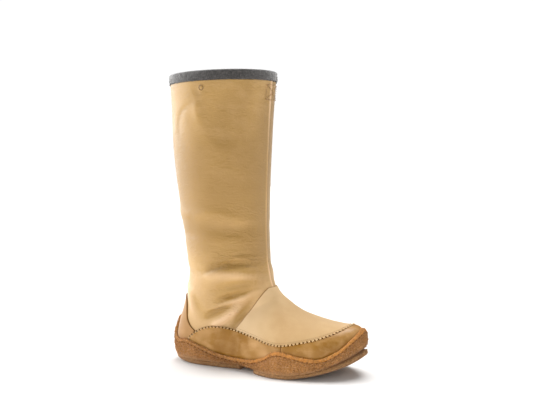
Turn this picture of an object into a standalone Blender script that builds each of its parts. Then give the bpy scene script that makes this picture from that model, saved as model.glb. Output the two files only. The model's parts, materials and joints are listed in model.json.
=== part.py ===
"""A tall pull-on leather boot for the right foot, in metres with +Z up.

It has a felt lining that shows at the collar, a whip-stitched wrap round the foot and a crepe
rubber cup sole with a wavy lip.  +X points to the toe and +Y to the inner side of the foot.
The origin is on the floor under the middle of the heel.
"""

import math
from collections import namedtuple

import bmesh
import bpy
import numpy as np
from mathutils import Vector
from mathutils.bvhtree import BVHTree

# Driving sizes
FOOT_LENGTH = 0.2535
HEEL_BACK_X = -0.036
BALL_WIDTH = 0.092
INSTEP_HEIGHT = 0.104
SHAFT_HEIGHT = 0.367

# Thicknesses and clearances
UPPER_WALL = 0.0022
GAP = 0.0003
VAMP_LEATHER = 0.0013
WRAP_LEATHER = 0.0018
INSOLE_THICKNESS = 0.0035
INSOLE_GAP = 0.0007
SEAM_RISE = 0.0009

# Cup sole
LIP_THICKNESS = 0.0040
GROOVE_DEPTH = 0.0011
GROOVE_DROP = 0.0052
LASTING_MARGIN = 0.022
FLOOR_BLEND = 0.006

# Treads
TREAD_GROOVE_WIDTH = 0.003
TREAD_GROOVE_DEPTH = 0.002
TREAD_CHAMFER = 0.0012
TREAD_GAP = 0.0005
HEEL_BEVEL = 0.009
HEEL_BEVEL_RISE = 0.0035

# Felt lining at the collar
FELT_THICKNESS = 0.0045
FELT_STAND = 0.0132
FELT_DEPTH = 0.030
FELT_OVERHANG = 0.0016

# Colours and finish
FINISHES = {
    "shaft_leather": ((0.60, 0.42, 0.22, 1.0), 0.55),
    "vamp_leather": ((0.66, 0.46, 0.26, 1.0), 0.75),
    "wrap_leather": ((0.42, 0.24, 0.08, 1.0), 0.55),
    "counter_leather": ((0.46, 0.29, 0.14, 1.0), 0.65),
    "crepe": ((0.30, 0.15, 0.06, 1.0), 0.95),
    "tread_crepe": ((0.22, 0.12, 0.06, 1.0), 0.95),
    "felt": ((0.13, 0.13, 0.13, 1.0), 1.0),
    "insole_felt": ((0.20, 0.19, 0.18, 1.0), 1.0),
}

# Sections of the shaft.  Heights are in per cent of SHAFT_HEIGHT, places along the foot in per
# cent of FOOT_LENGTH from the back of the heel, half widths in per cent of BALL_WIDTH.
Level = namedtuple("Level", "name steps back_height front_height back front half_width")
LEVELS = (
    Level("collar", 1, 99.4, 100.4, -4.5, 51.8, 65.6),
    Level("felt_foot", 1, 91.2, 91.8, -3.8, 50.9, 63.6),
    Level("calf", 1, 77.0, 77.3, -2.9, 49.8, 61.5),
    Level("shin", 1, 62.5, 62.6, -0.4, 49.1, 57.7),
    Level("low_shin", 1, 47.9, 47.9, 2.9, 49.0, 53.8),
    Level("above_ankle", 1, 37.0, 37.5, 5.2, 49.9, 52.2),
)

# Sections that fan round the ankle and then run along the foot.  Places along the foot are in
# per cent of FOOT_LENGTH, heights in per cent of INSTEP_HEIGHT, everything across in per cent of
# BALL_WIDTH.  Widest is the share of the way from the underside to the top.
Cross = namedtuple(
    "Cross",
    "name steps under under_height top top_height outer inner under_across top_across "
    "widest under_power top_power",
)
CROSSES = (
    Cross("ankle", 1, 6.1, 105.8, 51.3, 112.5, 53.0, 52.5, 0.0, 0.0, 0.50, 2.0, 2.0),
    Cross("counter_top", 1, 5.2, 86.5, 52.7, 102.4, 50.2, 49.1, 0.0, 0.0, 0.47, 2.0, 2.0),
    Cross("heel_upper", 1, 2.8, 65.4, 54.0, 97.6, 46.4, 44.8, 0.0, 1.1, 0.44, 2.0, 2.0),
    Cross("heel_middle", 1, 0.4, 45.2, 55.2, 94.2, 43.0, 41.4, 0.0, 1.6, 0.41, 2.1, 1.95),
    Cross("heel_low", 2, -0.4, 29.8, 56.2, 91.8, 40.8, 39.1, 0.0, 2.2, 0.38, 2.2, 1.95),
    Cross("heel_corner", 2, 2.4, 17.3, 57.0, 89.9, 39.1, 37.5, 0.0, 2.7, 0.35, 2.6, 1.9),
    Cross("heel_seat", 1, 10.3, 13.9, 57.8, 88.2, 38.0, 35.9, 0.0, 3.3, 0.33, 4.0, 1.9),
    Cross("shank", 2, 25.2, 13.3, 58.8, 86.1, 38.6, 34.2, 0.0, 4.3, 0.31, 4.8, 1.85),
    Cross("waist", 1, 39.4, 11.1, 60.4, 83.1, 41.8, 35.9, -1.1, 4.9, 0.30, 5.0, 1.85),
    Cross("joint", 1, 51.7, 9.6, 63.1, 77.7, 46.7, 40.8, -2.2, 5.4, 0.31, 4.6, 1.9),
    Cross("ball", 2, 62.3, 9.1, 67.9, 70.7, 51.1, 46.7, -1.6, 6.0, 0.33, 4.2, 2.0),
    Cross("tread_line", 2, 72.2, 10.6, 75.0, 64.9, 50.5, 50.0, 0.0, 6.5, 0.36, 3.8, 2.1),
    Cross("toe_box", 2, 80.9, 14.4, 82.1, 60.8, 45.1, 48.9, 2.2, 7.1, 0.39, 3.3, 2.2),
    Cross("toe", 1, 88.4, 20.2, 89.2, 58.7, 36.4, 42.4, 3.3, 7.1, 0.42, 2.9, 2.3),
    Cross("toe_roll", 1, 93.5, 26.4, 94.3, 58.4, 25.5, 33.7, 4.3, 6.5, 0.46, 2.4, 2.3),
    Cross("toe_front", 1, 97.0, 32.7, 97.6, 56.2, 13.0, 22.3, 4.9, 6.0, 0.50, 2.2, 2.2),
    Cross("toe_end", 1, 99.0, 37.5, 99.2, 51.4, 2.7, 12.0, 5.4, 5.4, 0.50, 2.0, 2.0),
    Cross("toe_tip", 0, 99.9, 42.8, 100.0, 45.7, -3.5, 7.4, 5.4, 5.4, 0.50, 2.0, 2.0),
)

# The sole's wall from the back of the heel to the toe.  Outer and inner are its reach to each
# side, lip and foot the heights of its top and of its lower edge, ground the height of the
# tread's underside, widest the share of the wall's height where it is widest, and the last two
# say how far the wall's lower edge and the tread lie inside the outline.
Wall = namedtuple("Wall", "name steps x outer inner lip foot ground widest tuck tread_tuck")
WALLS = (
    Wall("heel_back", 1, -0.0434, 0.0000, 0.0000, 0.0610, 0.0080, 0.0035, 0.65, 0.0025, 0.0040),
    Wall("tongue", 1, -0.0425, 0.0090, 0.0090, 0.0560, 0.0078, 0.0035, 0.65, 0.0025, 0.0040),
    Wall("tongue_foot", 1, -0.0390, 0.0180, 0.0180, 0.0390, 0.0075, 0.0030, 0.60, 0.0028, 0.0045),
    Wall("heel_quarter", 2, -0.0300, 0.0275, 0.0270, 0.0320, 0.0070, 0.0018, 0.55, 0.0030, 0.0050),
    Wall("heel_side", 2, -0.0100, 0.0360, 0.0345, 0.0335, 0.0070, 0.0000, 0.50, 0.0030, 0.0055),
    Wall("heel_front", 2, 0.0100, 0.0390, 0.0365, 0.0275, 0.0070, 0.0000, 0.50, 0.0030, 0.0055),
    Wall("shank", 3, 0.0330, 0.0395, 0.0360, 0.0198, 0.0070, 0.0000, 0.50, 0.0030, 0.0055),
    Wall("waist", 2, 0.0660, 0.0420, 0.0360, 0.0168, 0.0080, 0.0000, 0.45, 0.0030, 0.0090),
    Wall("arch_end", 1, 0.0910, 0.0485, 0.0405, 0.0188, 0.0058, 0.0000, 0.40, 0.0020, 0.0025),
    Wall("rise", 1, 0.1030, 0.0535, 0.0445, 0.0233, 0.0055, 0.0000, 0.40, 0.0015, 0.0020),
    Wall("rise_top", 1, 0.1130, 0.0565, 0.0475, 0.0290, 0.0055, 0.0000, 0.35, 0.0012, 0.0018),
    Wall("ball_peak", 2, 0.1240, 0.0575, 0.0505, 0.0328, 0.0055, 0.0000, 0.35, 0.0012, 0.0018),
    Wall("ball_fall", 2, 0.1430, 0.0555, 0.0535, 0.0310, 0.0060, 0.0006, 0.35, 0.0012, 0.0018),
    Wall("trough", 2, 0.1630, 0.0510, 0.0525, 0.0276, 0.0092, 0.0042, 0.40, 0.0015, 0.0018),
    Wall("trough_end", 1, 0.1780, 0.0450, 0.0490, 0.0272, 0.0130, 0.0076, 0.45, 0.0020, 0.0016),
    Wall("toe_rise", 1, 0.1900, 0.0385, 0.0445, 0.0322, 0.0172, 0.0110, 0.50, 0.0028, 0.0014),
    Wall("toe_side", 1, 0.2010, 0.0300, 0.0370, 0.0400, 0.0216, 0.0146, 0.50, 0.0035, 0.0012),
    Wall("toe_corner", 1, 0.2105, 0.0200, 0.0285, 0.0497, 0.0262, 0.0184, 0.50, 0.0040, 0.0012),
    Wall("toe_shoulder", 1, 0.2188, 0.0090, 0.0182, 0.0568, 0.0310, 0.0230, 0.50, 0.0045, 0.0010),
    Wall("toe_tip", 0, 0.2230, -0.0050, 0.0050, 0.0604, 0.0340, 0.0262, 0.50, 0.0045, 0.0008),
)

# Outlines seen from the side, on either side of the foot
Point = namedtuple("Point", "x z")
WRAP_TOP = (
    Point(-0.0100, 0.0300),
    Point(-0.0040, 0.0377),
    Point(0.0045, 0.0444),
    Point(0.0137, 0.0492),
    Point(0.0254, 0.0527),
    Point(0.0371, 0.0534),
    Point(0.0594, 0.0500),
    Point(0.0862, 0.0441),
    Point(0.1080, 0.0393),
    Point(0.1284, 0.0388),
    Point(0.1540, 0.0440),
    Point(0.1708, 0.0478),
    Point(0.1855, 0.0527),
    Point(0.1980, 0.0580),
    Point(0.2050, 0.0640),
)
WRAP_TUCK = (
    Point(-0.0100, 0.0240),
    Point(0.0100, 0.0205),
    Point(0.0330, 0.0165),
    Point(0.0660, 0.0140),
    Point(0.0910, 0.0145),
    Point(0.1130, 0.0215),
    Point(0.1240, 0.0245),
    Point(0.1430, 0.0240),
    Point(0.1630, 0.0222),
    Point(0.1780, 0.0240),
    Point(0.1900, 0.0295),
    Point(0.2000, 0.0370),
    Point(0.2080, 0.0460),
    Point(0.2130, 0.0530),
    Point(0.2180, 0.0560),
)
VAMP_EDGE = (
    Point(0.0580, 0.0480),
    Point(0.0613, 0.0537),
    Point(0.0704, 0.0664),
    Point(0.0800, 0.0802),
    Point(0.0878, 0.0922),
    Point(0.0926, 0.0994),
    Point(0.0958, 0.1042),
)
COUNTER_EDGE = (
    Point(-0.0170, 0.0900),
    Point(-0.0140, 0.0834),
    Point(-0.0124, 0.0745),
    Point(-0.0102, 0.0610),
    Point(-0.0070, 0.0545),
    Point(-0.0023, 0.0490),
    Point(0.0030, 0.0445),
)
BUTT_SEAM_X = 0.129
COUNTER_TUCK_Z = 0.024

# The vamp's top edge seen from the front rises to a peak at the middle of the instep
VAMP_PEAK_Z = 0.1048
VAMP_PEAK_SLOPE = 0.30

# Places outside the form, for outlines that have to clear it
CLEAR_BACK_X = -0.07
CLEAR_TOE_X = 0.235
CLEAR_TOP_Z = 0.12

# The rolled lip, from inside the foot over its top to its underside: how far each line lies under
# the lip's top, and its share of the lip's thickness
LipLine = namedtuple("LipLine", "drop share")
LIP_LINES = (
    LipLine(0.0010, -1.5),
    LipLine(0.0010, 0.1),
    LipLine(0.0000, 0.45),
    LipLine(0.0010, 0.9),
    LipLine(0.0026, 1.0),
    LipLine(0.0040, 0.92),
)

# Treads: where each starts and ends, and the first groove and the pitch of the grooves
Tread = namedtuple("Tread", "name first_row last_row first_groove pitch grooves")
TREADS = (
    Tread("heel_tread", "heel_back", "waist", -0.024, 0.016, 6),
    Tread("forefoot_tread", "arch_end", "toe_tip", 0.104, 0.0145, 8),
)

FINE = 72
SHARP_ANGLE = math.radians(40)
CLEAR_HALF_WIDTH = 0.09
OUTER_HALF = (-CLEAR_HALF_WIDTH, 0.0)
INNER_HALF = (0.0, CLEAR_HALF_WIDTH)
WHOLE_WIDTH = (-CLEAR_HALF_WIDTH, CLEAR_HALF_WIDTH)

# How steeply a face looks down before it counts as the underside of the foot, and how gradually
UNDERSIDE_FROM = 0.92
UNDERSIDE_BLEND = 0.06


def smooth(knots, values, at):
    """Read places from a smooth curve through the rows of a table."""
    knots = np.asarray(knots, float)
    values = np.asarray(values, float)
    slopes = np.gradient(values, knots, axis=0)
    at = np.asarray(at, float)
    index = np.clip(np.searchsorted(knots, at, side="right") - 1, 0, len(knots) - 2)
    step = (knots[index + 1] - knots[index])[:, None]
    share = (at[:, None] - knots[index][:, None]) / step
    rest = 1 - share
    return (
        (1 + 2 * share) * rest**2 * values[index]
        + share * rest**2 * step * slopes[index]
        + share**2 * (3 - 2 * share) * values[index + 1]
        - share**2 * rest * step * slopes[index + 1]
    )


def row_places(rows):
    """Places to read between a table's rows, as row numbers with fractions."""
    places = [
        number + step / row.steps
        for number, row in enumerate(rows)
        for step in range(row.steps)
    ]
    return np.array(places + [len(rows) - 1.0])


def curve_through(points, steps=4):
    """A smooth polyline through the points of an outline."""
    places = np.linspace(0, len(points) - 1, (len(points) - 1) * steps + 1)
    return smooth(range(len(points)), points, places)


def section_rows():
    """Both tables as one, in metres."""
    rows = []
    for level in LEVELS:
        half = level.half_width * BALL_WIDTH / 100
        rows.append(
            (
                HEEL_BACK_X + level.back * FOOT_LENGTH / 100,
                level.back_height * SHAFT_HEIGHT / 100,
                HEEL_BACK_X + level.front * FOOT_LENGTH / 100,
                level.front_height * SHAFT_HEIGHT / 100,
                half,
                half,
                0.0,
                0.0,
                0.5,
                2.0,
                2.0,
            )
        )
    for cross in CROSSES:
        rows.append(
            (
                HEEL_BACK_X + cross.under * FOOT_LENGTH / 100,
                cross.under_height * INSTEP_HEIGHT / 100,
                HEEL_BACK_X + cross.top * FOOT_LENGTH / 100,
                cross.top_height * INSTEP_HEIGHT / 100,
                cross.outer * BALL_WIDTH / 100,
                cross.inner * BALL_WIDTH / 100,
                cross.under_across * BALL_WIDTH / 100,
                cross.top_across * BALL_WIDTH / 100,
                cross.widest,
                cross.under_power,
                cross.top_power,
            )
        )
    return np.array(rows)


SECTIONS = section_rows()
SECTION_NAMES = [row.name for row in LEVELS + CROSSES]
SECTION_KNOTS = np.concatenate(
    [[0], np.cumsum(np.linalg.norm(np.diff(SECTIONS[:, :4], axis=0), axis=1))]
)
PLACES = row_places(LEVELS + CROSSES)

# Columns round a section: 0 on the front or top, 1 at the back or underside, positive on the
# outer side and negative on the inner side.  The two near 0 carry the raised front seam.
EVEN_TURNS = np.linspace(0.10, 1.0, 13)
TURNS = np.concatenate([-EVEN_TURNS[::-1][1:], [-0.02, 0.0, 0.03], EVEN_TURNS])


def surface(place, turn):
    """Points of the foot and leg form, at rows of the table and turns round them."""
    place, turn = np.broadcast_arrays(np.asarray(place, float), np.asarray(turn, float))
    shape = place.shape
    place = place.reshape(-1)
    turn = turn.reshape(-1)
    knots = np.interp(place, range(len(SECTIONS)), SECTION_KNOTS)
    columns = smooth(SECTION_KNOTS, SECTIONS, knots).T[:, :, None]
    (under_x, under_z, top_x, top_z, outer, inner, under_y, top_y, widest, low, high) = columns
    angle = np.linspace(0, math.pi, FINE)[None, :]
    above = np.cos(angle) > 0
    power = np.where(above, high, low)
    reach = np.abs(np.cos(angle)) ** (2 / power)
    spread = np.abs(np.sin(angle)) ** (2 / power)
    along = np.where(above, widest + (1 - widest) * reach, widest * (1 - reach))
    side = np.where(turn[:, None] >= 0, -outer, inner)
    middle = np.where(above, top_y, under_y)
    half = np.stack(
        [
            under_x + (top_x - under_x) * along,
            middle + (side - middle) * spread,
            under_z + (top_z - under_z) * along,
        ],
        axis=-1,
    )
    lengths = np.linalg.norm(np.diff(half, axis=1), axis=2)
    lengths = np.concatenate([np.zeros((len(half), 1)), np.cumsum(lengths, axis=1)], axis=1)
    wanted = np.abs(turn) * lengths[:, -1]
    index = np.clip((lengths <= wanted[:, None]).sum(axis=1) - 1, 0, FINE - 2)
    rows = np.arange(len(half))
    start = lengths[rows, index]
    share = (wanted - start) / (lengths[rows, index + 1] - start)
    points = half[rows, index] + (half[rows, index + 1] - half[rows, index]) * share[:, None]
    return points.reshape(shape + (3,))


def outward(place, turn, place_step=0.02, turn_step=0.01):
    """The form's unit normals, facing out."""
    last = len(SECTIONS) - 1
    down = surface(np.minimum(place + place_step, last), turn) - surface(
        np.maximum(place - place_step, 0), turn
    )
    later = np.minimum(turn + turn_step, 1.0)
    earlier = np.maximum(turn - turn_step, -1.0)
    round_it = surface(place, later) - surface(place, earlier)
    normal = np.cross(round_it, down)
    return normal / np.linalg.norm(normal, axis=-1, keepdims=True)


def form_rings(first_row):
    """Places, points and normals of the form's rings, from a named row to the toe."""
    places = PLACES[PLACES >= SECTION_NAMES.index(first_row)]
    place = places[:, None]
    turn = TURNS[None, :]
    points = surface(place, turn)
    normals = outward(place + 0 * turn, turn + 0 * place)
    return places, points, normals


def loft_faces(bm, rings, closed_start, closed_end):
    """Join rings of points into a skin of triangles, fanned to a centre at a closed end."""
    count = len(rings[0])
    grid = [[bm.verts.new(point) for point in ring] for ring in rings]
    for ring, following in zip(grid, grid[1:]):
        for here in range(count):
            there = (here + 1) % count
            bm.faces.new((ring[here], ring[there], following[there]))
            bm.faces.new((ring[here], following[there], following[here]))
    for ring, centre, flip in ((grid[0], closed_start, True), (grid[-1], closed_end, False)):
        if centre is None:
            continue
        middle = bm.verts.new(centre)
        for here in range(count):
            pair = (ring[here], ring[(here + 1) % count])
            if flip:
                pair = pair[::-1]
            bm.faces.new((*pair, middle))


def finish_object(name, bm, collection, finish=None, recalculate=True):
    """Make an object of a bmesh."""
    if recalculate:
        bmesh.ops.recalc_face_normals(bm, faces=bm.faces)
    mesh = bpy.data.meshes.new(name)
    bm.to_mesh(mesh)
    bm.free()
    made = bpy.data.objects.new(name, mesh)
    collection.objects.link(made)
    if finish:
        mesh.materials.append(finish)
        mesh.shade_smooth()
        mesh.set_sharp_from_angle(angle=SHARP_ANGLE)
    return made


def as_cutter(made):
    """Keep a helper out of renders."""
    made.hide_render = True
    made.display_type = "WIRE"
    return made


def grown_form(name, grow, collection, finish=None, first_row="above_ankle"):
    """A closed body as large as the form grown outwards by a distance, or by a function of it.
    Without a finish it is a helper."""
    _, points, normals = form_rings(first_row)
    distance = grow(points, normals)[..., None] if callable(grow) else grow
    rings = points + normals * distance
    tip = points[-1].mean(axis=0) + (np.mean(distance), 0, 0)
    bm = bmesh.new()
    loft_faces(bm, rings, rings[0].mean(axis=0), tip)
    made = finish_object(name, bm, collection, finish)
    return made if finish else as_cutter(made)


def prism(name, outline, along, collection):
    """A helper body: an outline of points carried along a direction."""
    bm = bmesh.new()
    face = bm.faces.new([bm.verts.new(point) for point in outline])
    extruded = bmesh.ops.extrude_face_region(bm, geom=[face])
    moved = [item for item in extruded["geom"] if isinstance(item, bmesh.types.BMVert)]
    bmesh.ops.translate(bm, verts=moved, vec=along)
    return as_cutter(finish_object(name, bm, collection))


def side_prism(name, outline, collection, sides=WHOLE_WIDTH):
    """A helper body with an outline as seen from the side, on one or both sides of the foot."""
    corners = [(x, sides[0], z) for x, z in outline]
    return prism(name, corners, (0, sides[1] - sides[0], 0), collection)


def cut(target, cutter, operation):
    """Add a Boolean to an object."""
    modifier = target.modifiers.new(operation.lower(), "BOOLEAN")
    modifier.operation = operation
    modifier.object = cutter


def sole_stations():
    """Stations round the sole: the columns of WALLS, with y and the outward direction."""
    outer = [(row.x, -row.outer) + row[5:] for row in WALLS]
    inner = [(row.x, row.inner) + row[5:] for row in WALLS[-2:0:-1]]
    loop = np.array(outer + inner)
    padded = np.concatenate([loop[-2:], loop, loop[:3]])
    knots = np.concatenate(
        [[0], np.cumsum(np.linalg.norm(np.diff(padded[:, :2], axis=0), axis=1))]
    )
    one_side = row_places(WALLS)
    places = np.concatenate([one_side, 2 * one_side[-1] - one_side[-2:0:-1]]) + 2
    spots = np.interp(places, range(len(padded)), knots)
    values = smooth(knots, padded, spots)
    nudge = 0.0005
    heading = smooth(knots, padded[:, :2], spots + nudge) - smooth(
        knots, padded[:, :2], spots - nudge
    )
    heading /= np.linalg.norm(heading, axis=1, keepdims=True)
    away = np.stack([heading[:, 1], -heading[:, 0], np.zeros(len(heading))], axis=1)
    if away[0, 0] > 0:
        away = -away
    Stations = namedtuple("Stations", "spot away lip foot ground widest tuck tread_tuck")
    spot = np.concatenate([values[:, :2], np.zeros((len(values), 1))], axis=1)
    ground = np.maximum(values[:, 4], 0)
    return Stations(spot, away, values[:, 2], values[:, 3], ground, *values[:, 5:].T)


def station_ring(stations, inset, height):
    """A ring round the sole at a distance inside its outline and at a height."""
    ring = stations.spot - stations.away * np.broadcast_to(inset, len(stations.spot))[:, None]
    ring[:, 2] = height
    return ring


def ladder_faces(bm, ring, upward):
    """Close a ring of vertices with rungs from one side of the foot to the other."""
    count = len(ring)
    half = count // 2
    for here in range(half):
        corners = [ring[here], ring[here + 1], ring[(count - here - 1) % count]]
        if here > 0:
            corners.append(ring[count - here])
        corners = list(dict.fromkeys(corners))
        if upward:
            corners = corners[::-1]
        bm.faces.new(corners)


def stacked(name, rings, collection, finish):
    """A body of rings stacked from its top to its bottom, closed across the foot."""
    bm = bmesh.new()
    grid = [[bm.verts.new(point) for point in ring] for ring in rings]
    count = len(rings[0])
    for ring, following in zip(grid, grid[1:]):
        for here in range(count):
            there = (here + 1) % count
            bm.faces.new((ring[here], ring[there], following[there], following[here]))
    ladder_faces(bm, grid[0], True)
    ladder_faces(bm, grid[-1], False)
    bmesh.ops.triangulate(bm, faces=[face for face in bm.faces if len(face.verts) > 3])
    return finish_object(name, bm, collection, finish)


def upper(collection, finish):
    """The hollow leather shell, with its front seam as a step in the wall."""
    places, points, normals = form_rings("collar")
    seam_share = np.interp(TURNS, (-0.02, 0.0, 0.03, 0.10), (0.0, 1.0, 1.0, 0.0))
    vamp_row = SECTION_NAMES.index("ankle")
    on_shaft = np.clip(vamp_row + 1 - places, 0, 1)
    rise = SEAM_RISE * on_shaft[:, None] * seam_share[None, :]
    bm = bmesh.new()
    loft_faces(bm, points + normals * rise[..., None], None, points[-1].mean(axis=0))
    made = finish_object("upper", bm, collection, finish, recalculate=False)
    wall = made.modifiers.new("wall", "SOLIDIFY")
    wall.thickness = UPPER_WALL
    wall.offset = -1
    wall.use_quality_normals = True
    return made


def lasting_hole(stations, collection):
    """The opening under the foot, inside the margin that is turned in over the last."""
    outline = station_ring(stations, LASTING_MARGIN, 0)
    bm = bmesh.new()
    for height in (-0.01, 0.040):
        ring = [bm.verts.new((x, y, height)) for x, y, _ in outline]
        bm.faces.new(ring)
    bm.verts.ensure_lookup_table()
    count = len(outline)
    for here in range(count):
        there = (here + 1) % count
        corners = (here, there, there + count, here + count)
        bm.faces.new([bm.verts[corner] for corner in corners])
    return as_cutter(finish_object("lasting_hole", bm, collection))


def height_on(curve, x):
    """The height of an outline at a place along the foot."""
    return float(np.interp(x, curve[:, 0], curve[:, 1]))


def overlay(name, outline, leather, cutters, collection, finish, sides=WHOLE_WIDTH):
    """A panel laid on the upper, cut between two grown forms by its outline from the side."""
    panel = grown_form(name, GAP + leather, collection, finish)
    cut(panel, side_prism(f"{name}_outline", outline, cutters, sides), "INTERSECT")
    cut(panel, bpy.data.objects["form_under_panels"], "DIFFERENCE")
    return panel


def vamp(wrap_top, cutters, collection, finish):
    """The instep and toe panel, above the wrap and in front of the shaft."""
    above_wrap = wrap_top + (0.0, GAP)
    edge = curve_through(VAMP_EDGE)
    heights = np.interp(edge[:, 0], above_wrap[:, 0], above_wrap[:, 1])
    edge = edge[edge[:, 1] > heights + GAP]
    toe_edge = above_wrap[above_wrap[:, 0] > edge[0][0]]
    over_it = [(toe_edge[-1][0], CLEAR_TOP_Z), (edge[-1][0], CLEAR_TOP_Z)]
    outline = [*edge[::-1], *toe_edge, *over_it]
    panel = overlay("vamp", outline, VAMP_LEATHER, cutters, collection, finish)
    fall = VAMP_PEAK_SLOPE * CLEAR_HALF_WIDTH
    back_x = VAMP_EDGE[0].x
    peak = [
        (back_x, 0.0, VAMP_PEAK_Z),
        (back_x, CLEAR_HALF_WIDTH, VAMP_PEAK_Z - fall),
        (back_x, CLEAR_HALF_WIDTH, CLEAR_TOP_Z + GAP),
        (back_x, -CLEAR_HALF_WIDTH, CLEAR_TOP_Z + GAP),
        (back_x, -CLEAR_HALF_WIDTH, VAMP_PEAK_Z - fall),
    ]
    above_peak = prism("above_vamp", peak, (CLEAR_TOE_X - back_x, 0, 0), cutters)
    cut(panel, above_peak, "DIFFERENCE")


def heel_counter(wrap_top, cutters, collection, finish):
    """The panel round the back of the heel, down into the sole."""
    edge = curve_through(COUNTER_EDGE)
    beside_wrap = wrap_top[wrap_top[:, 0] < edge[-1][0]] + (-2 * GAP, 2 * GAP)
    outline = [
        (CLEAR_BACK_X, edge[0][1]),
        *edge,
        *beside_wrap[::-1],
        (beside_wrap[0][0], COUNTER_TUCK_Z),
        (CLEAR_BACK_X, COUNTER_TUCK_Z),
    ]
    overlay("heel_counter", outline, WRAP_LEATHER, cutters, collection, finish)


def wraps(wrap_top, cutters, collection, finish):
    """The band round the foot: a rear piece on each side and a front piece round the toe."""
    tuck = curve_through(WRAP_TUCK)
    rear = BUTT_SEAM_X - GAP
    rear_band = [
        *wrap_top[wrap_top[:, 0] < rear],
        (rear, height_on(wrap_top, rear)),
        (rear, height_on(tuck, rear)),
        *tuck[tuck[:, 0] < rear][::-1],
    ]
    for name, sides in (("wrap_outer", OUTER_HALF), ("wrap_inner", INNER_HALF)):
        overlay(name, rear_band, WRAP_LEATHER, cutters, collection, finish, sides)
    front_band = [
        (BUTT_SEAM_X, height_on(tuck, BUTT_SEAM_X)),
        (BUTT_SEAM_X, height_on(wrap_top, BUTT_SEAM_X)),
        *wrap_top[wrap_top[:, 0] > BUTT_SEAM_X],
        (CLEAR_TOE_X, wrap_top[-1][1]),
        (CLEAR_TOE_X, tuck[-1][1]),
        *tuck[tuck[:, 0] > BUTT_SEAM_X][::-1],
    ]
    overlay("wrap_front", front_band, WRAP_LEATHER, cutters, collection, finish)


def cup_growth(stations):
    """How far the sole's hollow stands off the form: clear of the panels at the sides, close
    under the foot, and swelling up into the lasting hole."""
    hole = station_ring(stations, LASTING_MARGIN, 0)
    beside_panels = GAP + WRAP_LEATHER + GAP

    def grow(points, normals):
        facing_down = np.clip((-normals[..., 2] - UNDERSIDE_FROM) / UNDERSIDE_BLEND, 0, 1)
        before = np.roll(facing_down, 1, axis=1)
        after = np.roll(facing_down, -1, axis=1)
        facing_down = np.minimum(facing_down, np.minimum(before, after))
        facing_down[1:] = np.minimum(facing_down[1:], facing_down[:-1])
        to_edge = hole - points[..., None, :]
        room = (to_edge * stations.away).sum(axis=-1).min(axis=-1)
        in_hole = np.clip((room - FLOOR_BLEND) / FLOOR_BLEND, 0, 1) * facing_down
        under_foot = GAP - in_hole * (UPPER_WALL + GAP)
        return beside_panels + (under_foot - beside_panels) * facing_down

    return grow


def wall_hits(stations, heights, tree):
    """How far the sole's hollow reaches at each station and height, measured inwards from the
    outline."""
    start = 0.030
    reach = []
    for spot, away, height in zip(stations.spot, stations.away, heights):
        origin = Vector(spot - away * start)
        origin.z = height
        _, _, _, distance = tree.ray_cast(origin, Vector(away))
        reach.append(start - distance)
    return np.array(reach)


def midsole(stations, collection, cutters, finish):
    """The crepe cup: a wavy rolled lip, a groove under it, a bulging wall and an arched base."""
    beside_panels = GAP + WRAP_LEATHER + GAP
    hull = grown_form("cup_hull", beside_panels, cutters)
    mesh = hull.data
    tree = BVHTree.FromPolygons(
        [vertex.co.copy() for vertex in mesh.vertices],
        [tuple(face.vertices) for face in mesh.polygons],
    )
    seat = wall_hits(stations, stations.lip - LIP_LINES[0].drop, tree)

    def beside(drop, proud):
        reach = wall_hits(stations, stations.lip - drop, tree)
        return station_ring(stations, np.minimum(reach, seat) - proud, stations.lip - drop)

    lip = [beside(line.drop, line.share * LIP_THICKNESS) for line in LIP_LINES]
    groove_z = stations.lip - GROOVE_DROP
    groove = beside(GROOVE_DROP, LIP_THICKNESS - GROOVE_DEPTH)
    widest_z = stations.foot + stations.widest * (groove_z - stations.foot)
    widest = station_ring(stations, 0, widest_z)
    shoulder = 0.45 * groove + 0.55 * widest
    shoulder[:, 2] = 0.6 * groove_z + 0.4 * widest_z
    low_z = 0.45 * widest_z + 0.55 * stations.foot
    low = station_ring(stations, 0.35 * stations.tuck, low_z)
    edge = station_ring(stations, stations.tuck, stations.foot)
    made = stacked("midsole", [*lip, groove, shoulder, widest, low, edge], collection, finish)
    cut(made, grown_form("cup_hollow", cup_growth(stations), cutters), "DIFFERENCE")
    return made


def tread_ring(stations, first, last, inset, height):
    """A ring round one tread, with the middle of its straight edge first."""
    count = len(stations.spot)
    whole = station_ring(stations, inset, height)
    outer_side = whole[first : last + 1]
    inner_side = whole[(count - np.arange(first, last + 1)) % count]
    if first == 0:
        ahead = (outer_side[-1] + inner_side[-1]) / 2
        return np.concatenate([outer_side, [ahead], inner_side[:0:-1]])
    behind = (outer_side[0] + inner_side[0]) / 2
    return np.concatenate([[behind], outer_side, inner_side[-2::-1]])


def tread_grooves(tread, stations, collection):
    """Cross grooves that follow the tread's underside."""
    side = len(stations.spot) // 2 + 1
    bm = bmesh.new()
    for number in range(tread.grooves):
        x = tread.first_groove + number * tread.pitch
        ground = np.interp(x, stations.spot[:side, 0], stations.ground[:side])
        made = bmesh.ops.create_cube(bm, size=1.0)
        size = (TREAD_GROOVE_WIDTH, 2 * CLEAR_HALF_WIDTH, 2 * TREAD_GROOVE_DEPTH)
        bmesh.ops.scale(bm, vec=size, verts=made["verts"])
        bmesh.ops.translate(bm, vec=(x, 0, ground), verts=made["verts"])
    return as_cutter(finish_object(f"{tread.name}_grooves", bm, collection))


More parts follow.
